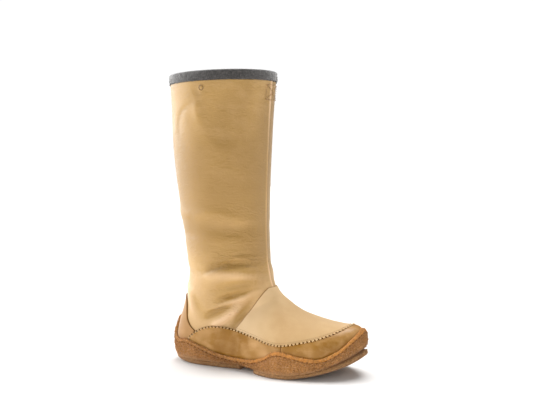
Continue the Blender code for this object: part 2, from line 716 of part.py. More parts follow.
def tread(row, stations, collection, cutters, finish):
    """A wearing layer under heel or forefoot, with cross grooves."""
    names = [wall.name for wall in WALLS]
    one_side = row_places(WALLS)
    first = int(np.searchsorted(one_side, names.index(row.first_row)))
    last = int(np.searchsorted(one_side, names.index(row.last_row)))
    top = stations.foot - TREAD_GAP
    bevel = stations.ground if row.first_row == "heel_back" else 0 * stations.ground
    flat = stations.ground - bevel
    inset = stations.tread_tuck
    bevel_reach = TREAD_CHAMFER + HEEL_BEVEL * np.clip(bevel / HEEL_BEVEL_RISE, 0, 1)
    levels = (
        (inset, top),
        (inset, stations.ground + TREAD_CHAMFER),
        (inset + bevel_reach, flat),
    )
    rings = [tread_ring(stations, first, last, *level) for level in levels]
    made = stacked(row.name, rings, collection, finish)
    cut(made, tread_grooves(row, stations, cutters), "DIFFERENCE")
    return made


def insole(collection, cutters, finish):
    """A flat sheet that fills the bottom of the hollow upper."""
    along_base = SECTIONS[SECTION_NAMES.index("heel_corner") :, :2]
    lift = UPPER_WALL + INSOLE_GAP + INSOLE_THICKNESS
    top = [(x, z + lift) for x, z in along_base]
    heel_z = top[0][1] + INSOLE_THICKNESS
    below = -FLOOR_BLEND
    outline = [
        (CLEAR_BACK_X, heel_z),
        *top,
        (CLEAR_TOE_X, top[-1][1]),
        (CLEAR_TOE_X, below),
        (CLEAR_BACK_X, below),
    ]
    inside_upper = -UPPER_WALL - INSOLE_GAP
    made = grown_form("insole", inside_upper, collection, finish, first_row="counter_top")
    cut(made, side_prism("insole_outline", outline, cutters), "INTERSECT")


def felt_cuff(collection, finish):
    """The lining's rounded edge, standing above the leather and spreading over it."""
    inside = -UPPER_WALL - GAP - FELT_THICKNESS
    against_leather = -UPPER_WALL - GAP
    Profile = namedtuple("Profile", "rise out")
    profile = (
        Profile(-FELT_DEPTH, inside),
        Profile(-FELT_DEPTH / 2, inside),
        Profile(0.70 * FELT_STAND, inside),
        Profile(0.93 * FELT_STAND, inside + 0.0014),
        Profile(FELT_STAND, -0.0028),
        Profile(0.88 * FELT_STAND, 0.0),
        Profile(0.55 * FELT_STAND, FELT_OVERHANG),
        Profile(2 * GAP, 0.4 * FELT_OVERHANG),
        Profile(GAP, against_leather),
        Profile(-FELT_DEPTH / 2, against_leather),
        Profile(-FELT_DEPTH, against_leather),
    )
    turns = TURNS[np.abs(TURNS) != 0.02]
    collar_to_foot = SECTIONS[0, 3] - SECTIONS[1, 3]
    rings = []
    for rise, out in profile:
        place = np.full(len(turns), max(0.0, -rise) / collar_to_foot)
        ring = surface(place, turns) + out * outward(place, turns)
        ring[:, 2] += max(0.0, rise)
        rings.append(ring)
    bm = bmesh.new()
    loft_faces(bm, rings + [rings[0]], None, None)
    bmesh.ops.remove_doubles(bm, verts=bm.verts, dist=1e-6)
    return finish_object("felt_cuff", bm, collection, finish)


def finish_materials():
    """One plain material for each kind of surface."""
    made = {}
    for name, (colour, roughness) in FINISHES.items():
        material = bpy.data.materials.new(name)
        material.use_nodes = True
        shader = material.node_tree.nodes["Principled BSDF"]
        shader.inputs["Base Color"].default_value = colour
        shader.inputs["Roughness"].default_value = roughness
        made[name] = material
    return made


def build():
    for old in list(bpy.data.objects):
        bpy.data.objects.remove(old)
    boot = bpy.data.collections.new("boot")
    cutters = bpy.data.collections.new("cutters")
    for collection in (boot, cutters):
        bpy.context.scene.collection.children.link(collection)
    finishes = finish_materials()
    stations = sole_stations()

    shell = upper(boot, finishes["shaft_leather"])
    cut(shell, lasting_hole(stations, cutters), "DIFFERENCE")
    grown_form("form_under_panels", GAP, cutters)
    wrap_top = curve_through(WRAP_TOP)
    vamp(wrap_top, cutters, boot, finishes["vamp_leather"])
    heel_counter(wrap_top, cutters, boot, finishes["counter_leather"])
    wraps(wrap_top, cutters, boot, finishes["wrap_leather"])
    felt_cuff(boot, finishes["felt"])
    insole(boot, cutters, finishes["insole_felt"])
    midsole(stations, boot, cutters, finishes["crepe"])
    for row in TREADS:
        tread(row, stations, boot, cutters, finishes["tread_crepe"])


build()
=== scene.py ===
"""Looks of a tall pull-on leather boot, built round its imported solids.

Everything is in metres: +X to the toe, +Y to the inner side of the right foot, +Z up.
"""

import json
import math
from collections import namedtuple

import bmesh
import bpy
import numpy as np
from mathutils import Matrix, Vector, noise
from mathutils.bvhtree import BVHTree

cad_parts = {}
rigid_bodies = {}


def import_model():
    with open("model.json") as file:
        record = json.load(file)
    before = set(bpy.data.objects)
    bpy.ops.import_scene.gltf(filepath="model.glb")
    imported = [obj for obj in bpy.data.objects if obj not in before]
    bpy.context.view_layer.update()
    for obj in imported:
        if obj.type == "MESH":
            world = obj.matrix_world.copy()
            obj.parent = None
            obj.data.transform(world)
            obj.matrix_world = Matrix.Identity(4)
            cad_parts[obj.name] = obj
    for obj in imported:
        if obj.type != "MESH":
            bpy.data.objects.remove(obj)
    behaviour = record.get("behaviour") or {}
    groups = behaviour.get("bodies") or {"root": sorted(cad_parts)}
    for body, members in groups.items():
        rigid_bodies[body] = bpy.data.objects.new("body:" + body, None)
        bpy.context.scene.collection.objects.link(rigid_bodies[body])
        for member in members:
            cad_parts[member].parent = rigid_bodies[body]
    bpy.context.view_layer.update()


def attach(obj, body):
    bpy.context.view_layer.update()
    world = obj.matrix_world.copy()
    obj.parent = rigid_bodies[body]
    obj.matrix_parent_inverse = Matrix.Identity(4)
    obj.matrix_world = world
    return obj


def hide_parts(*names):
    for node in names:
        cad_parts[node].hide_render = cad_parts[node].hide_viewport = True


for old in list(bpy.data.objects):
    bpy.data.objects.remove(old)
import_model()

# Driving sizes of the boot, as in its solids
FOOT_LENGTH = 0.2535
HEEL_BACK_X = -0.036
BALL_WIDTH = 0.092
INSTEP_HEIGHT = 0.104
SHAFT_HEIGHT = 0.367
UPPER_WALL = 0.0022
GAP = 0.0003
VAMP_LEATHER = 0.0013
WRAP_LEATHER = 0.0018
LIP_THICKNESS = 0.0040
GROOVE_DEPTH = 0.0011
GROOVE_DROP = 0.0046
UNDER_ARCH = 0.0006
FELT_THICKNESS = 0.0045
FELT_STAND = 0.0132
FELT_OVERHANG = 0.0016
FELT_INNER = -UPPER_WALL - GAP - FELT_THICKNESS
MM = 0.001

# Sections of the shaft: heights in per cent of SHAFT_HEIGHT, places along the foot in per cent
# of FOOT_LENGTH from the back of the heel, half widths in per cent of BALL_WIDTH
Level = namedtuple("Level", "name back_height front_height back front half_width")
LEVELS = (
    Level("collar", 99.4, 100.4, -4.5, 51.8, 65.6),
    Level("felt_foot", 91.2, 91.8, -3.8, 50.9, 63.6),
    Level("calf", 77.0, 77.3, -2.9, 49.8, 61.5),
    Level("shin", 62.5, 62.6, -0.4, 49.1, 57.7),
    Level("low_shin", 47.9, 47.9, 2.9, 49.0, 53.8),
    Level("above_ankle", 37.0, 37.5, 5.2, 49.9, 52.2),
)

# Sections that fan round the ankle and run along the foot: heights in per cent of INSTEP_HEIGHT
Cross = namedtuple(
    "Cross",
    "name under under_height top top_height outer inner under_across top_across "
    "widest under_power top_power",
)
CROSSES = (
    Cross("ankle", 6.1, 105.8, 51.3, 112.5, 53.0, 52.5, 0.0, 0.0, 0.50, 2.0, 2.0),
    Cross("counter_top", 5.2, 86.5, 52.7, 102.4, 50.2, 49.1, 0.0, 0.0, 0.47, 2.0, 2.0),
    Cross("heel_upper", 2.8, 65.4, 54.0, 97.6, 46.4, 44.8, 0.0, 1.1, 0.44, 2.0, 2.0),
    Cross("heel_middle", 0.4, 45.2, 55.2, 94.2, 43.0, 41.4, 0.0, 1.6, 0.41, 2.1, 1.95),
    Cross("heel_low", -0.4, 29.8, 56.2, 91.8, 40.8, 39.1, 0.0, 2.2, 0.38, 2.2, 1.95),
    Cross("heel_corner", 2.4, 17.3, 57.0, 89.9, 39.1, 37.5, 0.0, 2.7, 0.35, 2.6, 1.9),
    Cross("heel_seat", 10.3, 13.9, 57.8, 88.2, 38.0, 35.9, 0.0, 3.3, 0.33, 4.0, 1.9),
    Cross("shank", 25.2, 13.3, 58.8, 86.1, 38.6, 34.2, 0.0, 4.3, 0.31, 4.8, 1.85),
    Cross("waist", 39.4, 11.1, 60.4, 83.1, 41.8, 35.9, -1.1, 4.9, 0.30, 5.0, 1.85),
    Cross("joint", 51.7, 9.6, 63.1, 77.7, 46.7, 40.8, -2.2, 5.4, 0.31, 4.6, 1.9),
    Cross("ball", 62.3, 9.1, 67.9, 70.7, 51.1, 46.7, -1.6, 6.0, 0.33, 4.2, 2.0),
    Cross("tread_line", 72.2, 10.6, 75.0, 64.9, 50.5, 50.0, 0.0, 6.5, 0.36, 3.8, 2.1),
    Cross("toe_box", 80.9, 14.4, 82.1, 60.8, 45.1, 48.9, 2.2, 7.1, 0.39, 3.3, 2.2),
    Cross("toe", 88.4, 20.2, 89.2, 58.7, 36.4, 42.4, 3.3, 7.1, 0.42, 2.9, 2.3),
    Cross("toe_roll", 93.5, 26.4, 94.3, 58.4, 25.5, 33.7, 4.3, 6.5, 0.46, 2.4, 2.3),
    Cross("toe_front", 97.0, 32.7, 97.6, 56.2, 13.0, 22.3, 4.9, 6.0, 0.50, 2.2, 2.2),
    Cross("toe_end", 99.0, 37.5, 99.2, 51.4, 2.7, 12.0, 5.4, 5.4, 0.50, 2.0, 2.0),
    Cross("toe_tip", 99.9, 42.8, 100.0, 45.7, -3.5, 7.4, 5.4, 5.4, 0.50, 2.0, 2.0),
)

# The shaft's sections are even ellipses: the last five columns of a cross section for them
EVEN_SECTION = (0.0, 0.0, 0.5, 2.0, 2.0)

# A place on the form is a section's number, counted from the collar, or lies between two numbers
PLACES = {row.name: place for place, row in enumerate(LEVELS + CROSSES)}
LAST_PLACE = PLACES["toe_tip"]

# The sole's wall from the back of the heel to the toe, in metres
Wall = namedtuple("Wall", "name x outer inner lip foot ground widest tuck tread_tuck")
WALLS = (
    Wall("heel_back", -0.0434, 0.0000, 0.0000, 0.0610, 0.0080, 0.0035, 0.65, 0.0025, 0.0040),
    Wall("tongue", -0.0425, 0.0090, 0.0090, 0.0560, 0.0078, 0.0035, 0.65, 0.0025, 0.0040),
    Wall("tongue_foot", -0.0390, 0.0180, 0.0180, 0.0390, 0.0075, 0.0030, 0.60, 0.0028, 0.0045),
    Wall("heel_quarter", -0.0300, 0.0275, 0.0270, 0.0320, 0.0070, 0.0018, 0.55, 0.0030, 0.0050),
    Wall("heel_side", -0.0100, 0.0360, 0.0345, 0.0335, 0.0070, 0.0000, 0.50, 0.0030, 0.0055),
    Wall("heel_front", 0.0100, 0.0390, 0.0365, 0.0275, 0.0070, 0.0000, 0.50, 0.0030, 0.0055),
    Wall("shank", 0.0330, 0.0395, 0.0360, 0.0198, 0.0070, 0.0000, 0.50, 0.0030, 0.0055),
    Wall("waist", 0.0660, 0.0420, 0.0360, 0.0168, 0.0080, 0.0000, 0.45, 0.0030, 0.0090),
    Wall("arch_end", 0.0910, 0.0485, 0.0405, 0.0188, 0.0058, 0.0000, 0.40, 0.0020, 0.0025),
    Wall("rise", 0.1030, 0.0535, 0.0445, 0.0233, 0.0055, 0.0000, 0.40, 0.0015, 0.0020),
    Wall("rise_top", 0.1130, 0.0565, 0.0475, 0.0290, 0.0055, 0.0000, 0.35, 0.0012, 0.0018),
    Wall("ball_peak", 0.1240, 0.0575, 0.0505, 0.0328, 0.0055, 0.0000, 0.35, 0.0012, 0.0018),
    Wall("ball_fall", 0.1430, 0.0555, 0.0535, 0.0310, 0.0060, 0.0006, 0.35, 0.0012, 0.0018),
    Wall("trough", 0.1630, 0.0510, 0.0525, 0.0276, 0.0092, 0.0042, 0.40, 0.0015, 0.0018),
    Wall("trough_end", 0.1780, 0.0450, 0.0490, 0.0272, 0.0130, 0.0076, 0.45, 0.0020, 0.0016),
    Wall("toe_rise", 0.1900, 0.0385, 0.0445, 0.0322, 0.0172, 0.0110, 0.50, 0.0028, 0.0014),
    Wall("toe_side", 0.2010, 0.0300, 0.0370, 0.0400, 0.0216, 0.0146, 0.50, 0.0035, 0.0012),
    Wall("toe_corner", 0.2105, 0.0200, 0.0285, 0.0497, 0.0262, 0.0184, 0.50, 0.0040, 0.0012),
    Wall("toe_shoulder", 0.2188, 0.0090, 0.0182, 0.0568, 0.0310, 0.0230, 0.50, 0.0045, 0.0010),
    Wall("toe_tip", 0.2230, -0.0050, 0.0050, 0.0604, 0.0340, 0.0262, 0.50, 0.0045, 0.0008),
)
Stations = namedtuple("Stations", "spot away lip foot ground widest tuck tread_tuck")
STATION_COUNT = 1100

# Down the wall, from the groove to its lower edge: where the five lines lie that shape it, where
# its mesh has lines, how far the greyer low crepe has set in, and how dark the painted shade in the
# groove is
WALL_KNOTS = (0.0, 0.28, 0.62, 0.84, 1.0)
WALL_SHARES = np.linspace(0, 1, 34)
LOW_CREPE = ((0.72, 0.0), (0.92, 1.0))
GROOVE_SHADE = ((0.0, 0.30), (0.05, 0.15), (0.09, 0.0))

# What differs between heel and ball, and the x between which it changes: how much of the groove's
# depth there is, and how bright the lip is
HEEL_TO_BALL = (0.045, 0.095)
GROOVE_SHARES = (0.15, 0.4)
LIP_BRIGHTNESS = (0.1, 1.0)

# The crepe's surface: how rough the lip is in shares of the middle of the wall, how far its lumps
# are sunk, and the size, seed and darkness of the painted shade under the lip, broken into specks
LIP_ROUGHNESS = 0.9
CREPE_SINK = 0.0003
SHADE_SPECKS = (0.0022, 41)
SHADE_SPECK_DARKNESS = 1.1

# The rolled lip: how far each line lies under its top, and its share of the lip's thickness.  It
# is measured from the upper's face, or from this face at SEAT_DROP where that lies further out.
SEAT_DROP = 0.0010
LipLine = namedtuple("LipLine", "drop share")
LIP_LINES = (
    LipLine(0.0030, -1.5),
    LipLine(0.0010, 0.0),
    LipLine(0.0003, 0.15),
    LipLine(0.0000, 0.45),
    LipLine(0.0003, 0.72),
    LipLine(0.0010, 0.90),
    LipLine(0.0018, 0.98),
    LipLine(0.0026, 1.00),
    LipLine(0.0034, 0.97),
    LipLine(0.0041, 0.88),
    LipLine(0.0046, 0.76),
)

# Treads: each starts or ends in a rounded end where no x is given
Tread = namedtuple("Tread", "name first_x last_x first_groove pitch grooves rows")
TREADS = (
    Tread("heel_tread", None, 0.066, -0.024, 0.016, 6, 200),
    Tread("forefoot_tread", 0.091, None, 0.104, 0.0145, 8, 240),
)
TREAD_GROOVE_HALF_WIDTH = 0.0019
TREAD_GROOVE_SIDE = 0.0007
TREAD_GROOVE_DEPTH = 0.0018

# Unevenness of surfaces: how high and how large its lumps are, in metres, and a seed
Lumps = namedtuple("Lumps", "height size seed")
CREPE_LUMPS = (Lumps(0.00040, 0.009, 3), Lumps(0.00080, 0.0030, 17), Lumps(0.00050, 0.0016, 29))
TREAD_LUMPS = (Lumps(0.00030, 0.0030, 51), Lumps(0.00018, 0.0014, 61))
FELT_LUMPS = (Lumps(0.00050, 0.007, 41), Lumps(0.00028, 0.0022, 7))
INSOLE_LUMPS = (Lumps(0.00040, 0.012, 5),)

# Outlines seen from the side, on either side of the foot: x and z in metres
WRAP_TOP = (
    (-0.0100, 0.0300), (-0.0040, 0.0377), (0.0045, 0.0444), (0.0137, 0.0492), (0.0254, 0.0527),
    (0.0371, 0.0534), (0.0594, 0.0500), (0.0862, 0.0441), (0.1080, 0.0393), (0.1284, 0.0388),
    (0.1540, 0.0440), (0.1708, 0.0478), (0.1855, 0.0527), (0.1980, 0.0580),
)
WRAP_TUCK = (
    (-0.0100, 0.0240), (0.0100, 0.0205), (0.0330, 0.0165), (0.0660, 0.0140), (0.0910, 0.0145),
    (0.1130, 0.0215), (0.1240, 0.0245), (0.1430, 0.0240), (0.1630, 0.0222), (0.1780, 0.0240),
    (0.1900, 0.0295), (0.2000, 0.0370), (0.2080, 0.0460),
)
VAMP_EDGE = (
    (0.0590, 0.0501), (0.0613, 0.0537), (0.0704, 0.0664), (0.0800, 0.0802), (0.0878, 0.0922),
    (0.0926, 0.0994), (0.0958, 0.1042),
)
COUNTER_EDGE = (
    (-0.0170, 0.0900), (-0.0140, 0.0834), (-0.0124, 0.0745), (-0.0102, 0.0610), (-0.0070, 0.0545),
    (-0.0023, 0.0490), (0.0022, 0.0447), (-0.0040, 0.0385), (-0.0095, 0.0320), (-0.0110, 0.0240),
)
BUTT_SEAM_X = 0.129
Edges = namedtuple("Edges", "wrap_top tuck vamp counter")

# Where the panels' edges cross the middle of the foot
WRAP_FRONT_PLACE = 20.0
TUCK_FRONT_PLACE = 21.9
VAMP_PEAK_PLACE = 7.35

# The rim of a panel: distance in from its edge in millimetres, and the share of its thickness
RIM = ((0.0, -0.15), (0.0, 0.45), (0.3, 0.83), (0.8, 1.0))
NARROW_PANEL = 0.006

# How dark a panel is where its leather has a share of its full thickness, and how strongly it
# wrinkles in shares of the upper's wrinkles
RIM_DARK = ((0.45, 0.85), (0.83, 0.295), (1.0, 0.0))
PANEL_WRINKLED = 0.4

# The seam down the front, by turns from the middle of the front: the mesh's lines there, how high
# the leather stands in shares of SEAM_RISE, and a painted highlight along its raised edge and a
# painted shadow in the groove beside it. It comes in over SEAM_FADE of a place above the vamp's
# peak.
SEAM_RISE = 0.0009
SEAM_FADE = 0.6
SEAM_TURNS = (
    -0.034, -0.024, -0.014, -0.006, 0.0, 0.004, 0.0065, 0.008, 0.0092, 0.0105, 0.013, 0.0165,
    0.021, 0.027, 0.035,
)
SEAM_HEIGHTS = (
    (-0.024, 0.0), (-0.006, 0.10), (0.004, -0.10), (0.0065, -0.25), (0.0080, 0.05),
    (0.0092, 0.75), (0.013, 1.0), (0.021, 0.55), (0.045, 0.0),
)
SEAM_PAINTED_HIGHLIGHT = ((0.0085, 0.0), (0.0100, 1.0), (0.024, 1.0), (0.032, 0.0))
SEAM_PAINTED_SHADOW = ((-0.003, 0.0), (0.001, 0.6), (0.0074, 0.6), (0.0088, 0.0))

# Rows of the upper's mesh up to the ends of shaft, ankle and foot, and where these lie
UPPER_ROWS = (0, 159, 323, 356)
UPPER_PLACES = (0, PLACES["above_ankle"], PLACES["heel_seat"] + 0.5, LAST_PLACE)

# Turns of the upper's lines on one side of the seam, and places of its rows inside the collar
SIDE_TURNS = np.linspace(0.045, 1.0, 92)
INSIDE_PLACES = np.linspace(0.15, 1.6, 6)

# The leather's turned edge at the collar: how far each line stands out and up
COLLAR_ROLL = ((-0.0002, 0.0004), (-0.0008, 0.0007), (-0.0016, 0.0004), (-0.0022, -0.0004))

# The felt's edge from its foot outside to its inside: how far each line stands up and out
FeltLine = namedtuple("FeltLine", "rise out")
FELT_TOP = (
    FeltLine(0.0002, -0.0006),
    FeltLine(0.0005, 0.0002),
    FeltLine(0.10 * FELT_STAND, 0.45 * FELT_OVERHANG),
    FeltLine(0.35 * FELT_STAND, 0.80 * FELT_OVERHANG),
    FeltLine(0.65 * FELT_STAND, FELT_OVERHANG),
    FeltLine(0.84 * FELT_STAND, FELT_OVERHANG),
    FeltLine(0.94 * FELT_STAND, 0.65 * FELT_OVERHANG),
    FeltLine(0.99 * FELT_STAND, -0.0006),
    FeltLine(FELT_STAND, -0.0024),
    FeltLine(0.98 * FELT_STAND, -0.0044),
    FeltLine(0.92 * FELT_STAND, FELT_INNER + 0.0012),
    FeltLine(0.80 * FELT_STAND, FELT_INNER + 0.0002),
    FeltLine(0.55 * FELT_STAND, FELT_INNER),
    FeltLine(0.0, FELT_INNER),
)

FELT_ROWS = 44
FELT_ROWS_SHOWN = 12

# The lining below the collar: a place, and how far inside the form its face lies
LINING_DEPTHS = ((0, -FELT_INNER), (1.4, -FELT_INNER), (2.0, 0.0062), (12.6, 0.0058))

# The insole's sheet.  It takes INSOLE_FIT of the room between the upper's sides, measured from a
# middle line that slopes by INSOLE_BEND to the inner side in front of INSOLE_BEND_X.
INSOLE_ENDS = (-0.0300, 0.2130)
INSOLE_BEND_X = 0.15
INSOLE_BEND = 0.06
INSOLE_FIT = 0.995
INSOLE_GAP = 0.0007
INSOLE_THICKNESS = 0.0035
INSOLE_ROUNDING = 0.0022

# Loose flakes that stand off the crepe and the felt: how far they reach and half their width
Flakes = namedtuple("Flakes", "count seed reach wide")
CRUMBS = Flakes(14000, 7, (0.0006, 0.0017), (0.00012, 0.00028))
FUZZ = Flakes(5200, 12, (0.0006, 0.0018), 0.00007)

# Lines of stitches, in metres, and the frames along an edge that they are sewn on
Stitch = namedtuple("Stitch", "pitch length radius")
Frames = namedtuple("Frames", "spot normal heading sideways")
SOLE_STITCH = Stitch(0.0058, 0.0024, 0.00048)
VAMP_STITCH = Stitch(0.0026, 0.0017, 0.00016)
BAR_STITCH = Stitch(0.0026, 0.0019, 0.00032)
TACK_STITCH = Stitch(0.0019, 0.0012, 0.00024)
VAMP_STITCH_INSET = 0.0036

# The whip stitches and their holes, from the wrap's top edge: how far towards the vamp and along
# the edge in millimetres, the leather under them, and how far they stand off it in millimetres
WHIP_PITCH = 0.0047
WHIP_RADIUS = 0.00058
Sewn = namedtuple("Sewn", "across along leather lift")
WHIP_PATH = (
    Sewn(0.55, 1.05, VAMP_LEATHER, -0.4),
    Sewn(0.38, 0.75, VAMP_LEATHER, 0.7),
    Sewn(0.00, 0.00, WRAP_LEATHER, 0.8),
    Sewn(-0.38, -0.75, WRAP_LEATHER, 0.6),
    Sewn(-0.55, -1.05, WRAP_LEATHER, -0.4),
)
# The dark discs paint the shade in the needle holes, and in the gap between each two loops
WHIP_HOLES = (
    Sewn(1.05, 2.10, VAMP_LEATHER, 0.60),
    Sewn(-0.70, -1.80, WRAP_LEATHER, 0.15),
    Sewn(0.25, 2.35, WRAP_LEATHER, 0.45),
)
HOLE_RADIUS = 0.00070

# The dark line along the vamp's edge: partly the edge's paint, partly painted shade where the vamp
# lies on the shaft
EDGE_LINE_RADIUS = 0.00042
EDGE_LINE_STEP = 0.0015
EDGE_LINE_LIFT = 0.0002

# A plain stitch's path: shares of its length, and how far it stands off the leather
PLAIN_PATH = ((-0.5, -0.0002), (-0.35, 0.00025), (0, 0.0003), (0.35, 0.00025), (0.5, -0.0002))

# How thin a thread is at its ends, and a slanting direction that its rings start from
TUBE_END = 0.55
SLANT = (0.3, 0.2, 1.0)

# Small things under the collar: the round tack's x and z and its rings in millimetres, with how
# dark each is, and the half width, foot and head of the box of stitches on the front seam
TACK_SPOT = (0.0241, 0.3581)
TackRing = namedtuple("TackRing", "radius height rim")
TACK_RINGS = (
    TackRing(0.05, 0.95, 0.0),
    TackRing(1.2, 0.90, 0.0),
    TackRing(2.0, 0.65, 0.1),
    TackRing(2.5, 0.30, 0.5),
    TackRing(3.0, 0.12, 0.8),
    TackRing(3.5, 0.35, 0.3),
    TackRing(4.2, 0.32, 0.0),
    TackRing(5.5, -0.10, 0.0),
)
TACK_STITCH_RADIUS = 3.0
TACK_STITCH_LIFT = 0.35
BAR_TACK = (0.0145, 0.3445, 0.3635)

# Creases of the leather, from a first to a last point through a middle one, as seen from the
# side, in millimetres.  Height is how far the leather stands out (or in, below zero), above and
# below how wide the crease is on each side, and side 1 the outer side, -1 the inner side.
FOLD_DEPTH = 2.1
CREASE_REACH = 3
CREASE_TAPER = 0.7
CREASE_FADE = 16
Crease = namedtuple("Crease", "x1 z1 x2 z2 x3 z3 height above below side")
CREASES = (
    # the soft band across the shin and the hollow under it
    Crease(0, 196, 38, 199, 84, 188, 0.7, 6, 12, 1),
    Crease(10, 181, 50, 178, 88, 180, -0.9, 9, 10, 1),
    Crease(-34, 204, -20, 198, 4, 196, 0.8, 6, 8, 0),
    Crease(-26, 168, -10, 172, 14, 170, -0.6, 7, 7, 0),
    # the main fold over the ankle: a hollow with a sharp lower edge, and the roll below it
    Crease(20, 124, 48, 133, 88, 136, -1.9, 9, 3, 1),
    Crease(18, 117, 50, 124, 92, 120, 1.1, 4, 9, 1),
    Crease(50, 141, 66, 143, 80, 140, 0.6, 2.5, 3, 1),
    Crease(38, 133, 52, 137, 70, 139, -0.6, 2, 2, 1),
    Crease(60, 148, 72, 149, 86, 147, -0.5, 2.5, 2.5, 1),
    # the hollow in front of the ankle bone, running back and down
    Crease(40, 100, 62, 107, 90, 113, -1.2, 8, 4, 1),
    Crease(36, 87, 54, 93, 84, 104, -2.0, 5, 2.5, 1),
    Crease(40, 82, 58, 88, 76, 95, 1.2, 3, 6, 1),
    Crease(16, 63, 32, 70, 62, 87, -1.6, 6, 3, 1),
    Crease(26, 55, 42, 62, 64, 80, 2.1, 4, 5, 1),
    Crease(22, 75, 36, 79, 50, 84, 0.5, 2, 2.5, 1),
    Crease(24, 71, 36, 75, 52, 81, -0.6, 2, 2, 1),
    Crease(52, 52, 64, 69, 82, 92, -0.9, 4, 6, 1),
    # round the back of the ankle
    Crease(-18, 108, -12, 100, 6, 92, 1.2, 6, 8, 0),
    Crease(-22, 124, -8, 122, 8, 116, -0.7, 6, 6, 0),
    Crease(-16, 92, -6, 84, 4, 66, 0.8, 5, 5, 0),
    Crease(-4, 96, 8, 84, 16, 66, -0.7, 6, 6, 0),
    # under the collar: the arc below the tack and the ridge beside it
    Crease(8, 342, -14, 322, -15, 292, -0.5, 4, 5, 1),
    Crease(16, 342, 15, 328, 20, 312, 0.5, 5, 5, 1),
    Crease(13, 360, 17, 353, 24, 350, -0.4, 4, 4, 1),
    Crease(34, 352, 27, 348, 18, 352, 0.2, 4, 4, 1),
    Crease(30, 300, 52, 292, 70, 296, -0.5, 8, 10, 1),
    Crease(28, 262, 50, 258, 78, 250, 0.3, 9, 9, 1),
    # the inner side
    Crease(2, 200, 40, 204, 82, 192, 1.0, 6, 9, -1),
    Crease(12, 184, 48, 180, 86, 184, -0.9, 8, 9, -1),
    Crease(16, 128, 46, 136, 88, 134, -1.6, 8, 4, -1),
    Crease(14, 118, 48, 126, 92, 122, 1.4, 4, 9, -1),
    Crease(44, 144, 62, 147, 84, 143, -0.5, 2.5, 2.5, -1),
    Crease(38, 98, 60, 104, 88, 110, -1.2, 7, 4, -1),
    Crease(34, 88, 56, 93, 82, 101, 1.1, 4, 6, -1),
    Crease(18, 66, 36, 74, 64, 88, -1.1, 6, 3, -1),
    Crease(28, 58, 44, 66, 64, 80, 1.3, 4, 5, -1),
    Crease(10, 318, 40, 312, 74, 322, -0.6, 9, 9, -1),
    Crease(0, 276, 34, 270, 70, 280, 0.7, 9, 9, -1),
)

# Places where fine wrinkles gather, in millimetres: x, z, half length along x and half height,
# and how strongly they show there.  Everywhere else they show as WRINKLED_ALL_OVER says.
Wrinkled = namedtuple("Wrinkled", "x z along up strength")
WRINKLED = (
    Wrinkled(56, 138, 40, 16, 1.0),
    Wrinkled(46, 84, 34, 24, 0.9),
    Wrinkled(60, 200, 42, 16, 0.48),
    Wrinkled(64, 168, 36, 18, 0.48),
    Wrinkled(20, 150, 40, 26, 0.38),
    Wrinkled(60, 320, 44, 40, 0.20),
    Wrinkled(24, 240, 30, 60, 0.19),
)
WRINKLED_ALL_OVER = 0.17

# How light or dark the upper's leather is: height in mm, and tone from -1 to 1. It is lighter low
# down, painted light where the leather faces up to the overhead lamp, and darker up the shin and
# calf. A fold that stands out as far as the number below adds 1 to it, a painted highlight on its
# ridge, and a hollow takes away as much, painted shade in its trough.
FOLD_PAINTED_LIGHT = 0.0035
SHAFT_TONES_AND_PAINTED_LIGHT = (
    (60, 0.45), (95, 0.25), (118, 0.10), (132, -0.20), (155, -0.75), (230, -0.85),
    (290, -0.65), (335, -0.15), (367, 0.0),
)

# The same for vamp, wrap and counter: place along the foot in mm, and tone. On the vamp it is
# painted light: lighter near the shaft, making up for the shade that the shaft casts there, and
# darker towards the toe.
VAMP_PAINTED_LIGHT = ((70, 0.9), (92, 0.6), (115, 0.1), (150, -0.3), (190, -0.3))
# On the wrap it is lighter over the ball, a painted highlight of its gloss, and darker at the
# middle of the foot
WRAP_TONES_AND_HIGHLIGHT = (
    (0, 0.3), (20, 0.2), (45, -0.9), (60, -0.6), (86, 0.5), (108, 0.6), (122, 0.0),
    (140, -0.3), (165, 0.2), (190, -0.2), (212, 0.2),
)
COUNTER_TONES = ((-36, 0.0), (-10, -0.3), (20, 0.1))

# Soft patches of tone: their size in metres and a seed, and how strong they are on the upper.
# The squeeze makes those of the panels taller than wide.
SHAFT_PATCHES = (0.05, 5)
SHAFT_PATCHY = 0.3
PANEL_PATCHES = (0.011, 23)
PANEL_SQUEEZE = (1, 1, 0.7)

# The camera's place, direction and lens, in metres, radians and millimetres
CAMERA_TARGET_X = 0.093
CAMERA_TURN = math.radians(24.0)
CAMERA_DISTANCE = 1.060
CAMERA_HEIGHT = 0.272
CAMERA_YAW = math.radians(24.25)
CAMERA_PITCH = math.radians(3.0)
CAMERA_ROLL = math.radians(0.25)
CAMERA_LENS = 55.55

# Half the width of the floor
FLOOR_HALF = 6.0

# Soft lamps: where each comes from, its strength and how wide it looks in degrees.  The window
# is left of the view, the overhead lamp a little behind the boot, and the weak fill right of it.
# The card is a lamp just above the floor, in front of the outer side.
Lamp = namedtuple("Lamp", "name place strength spread")
LAMPS = (
    Lamp("overhead", (0.00, 0.30, 0.95), 3.5, 42),
    Lamp("window", (-0.98, 0.06, 0.30), 5.2, 70),
    Lamp("fill", (0.85, 0.30, 0.42), 0.42, 60),
)
CARD_PLACE = (0.15, -0.36, 0.03)
CARD_AIM = (0.12, 0.0, 0.04)
CARD_SIZE = 0.32
CARD_POWER = 0.85
AMBIENT = 0.27
BACKDROP = 1.05

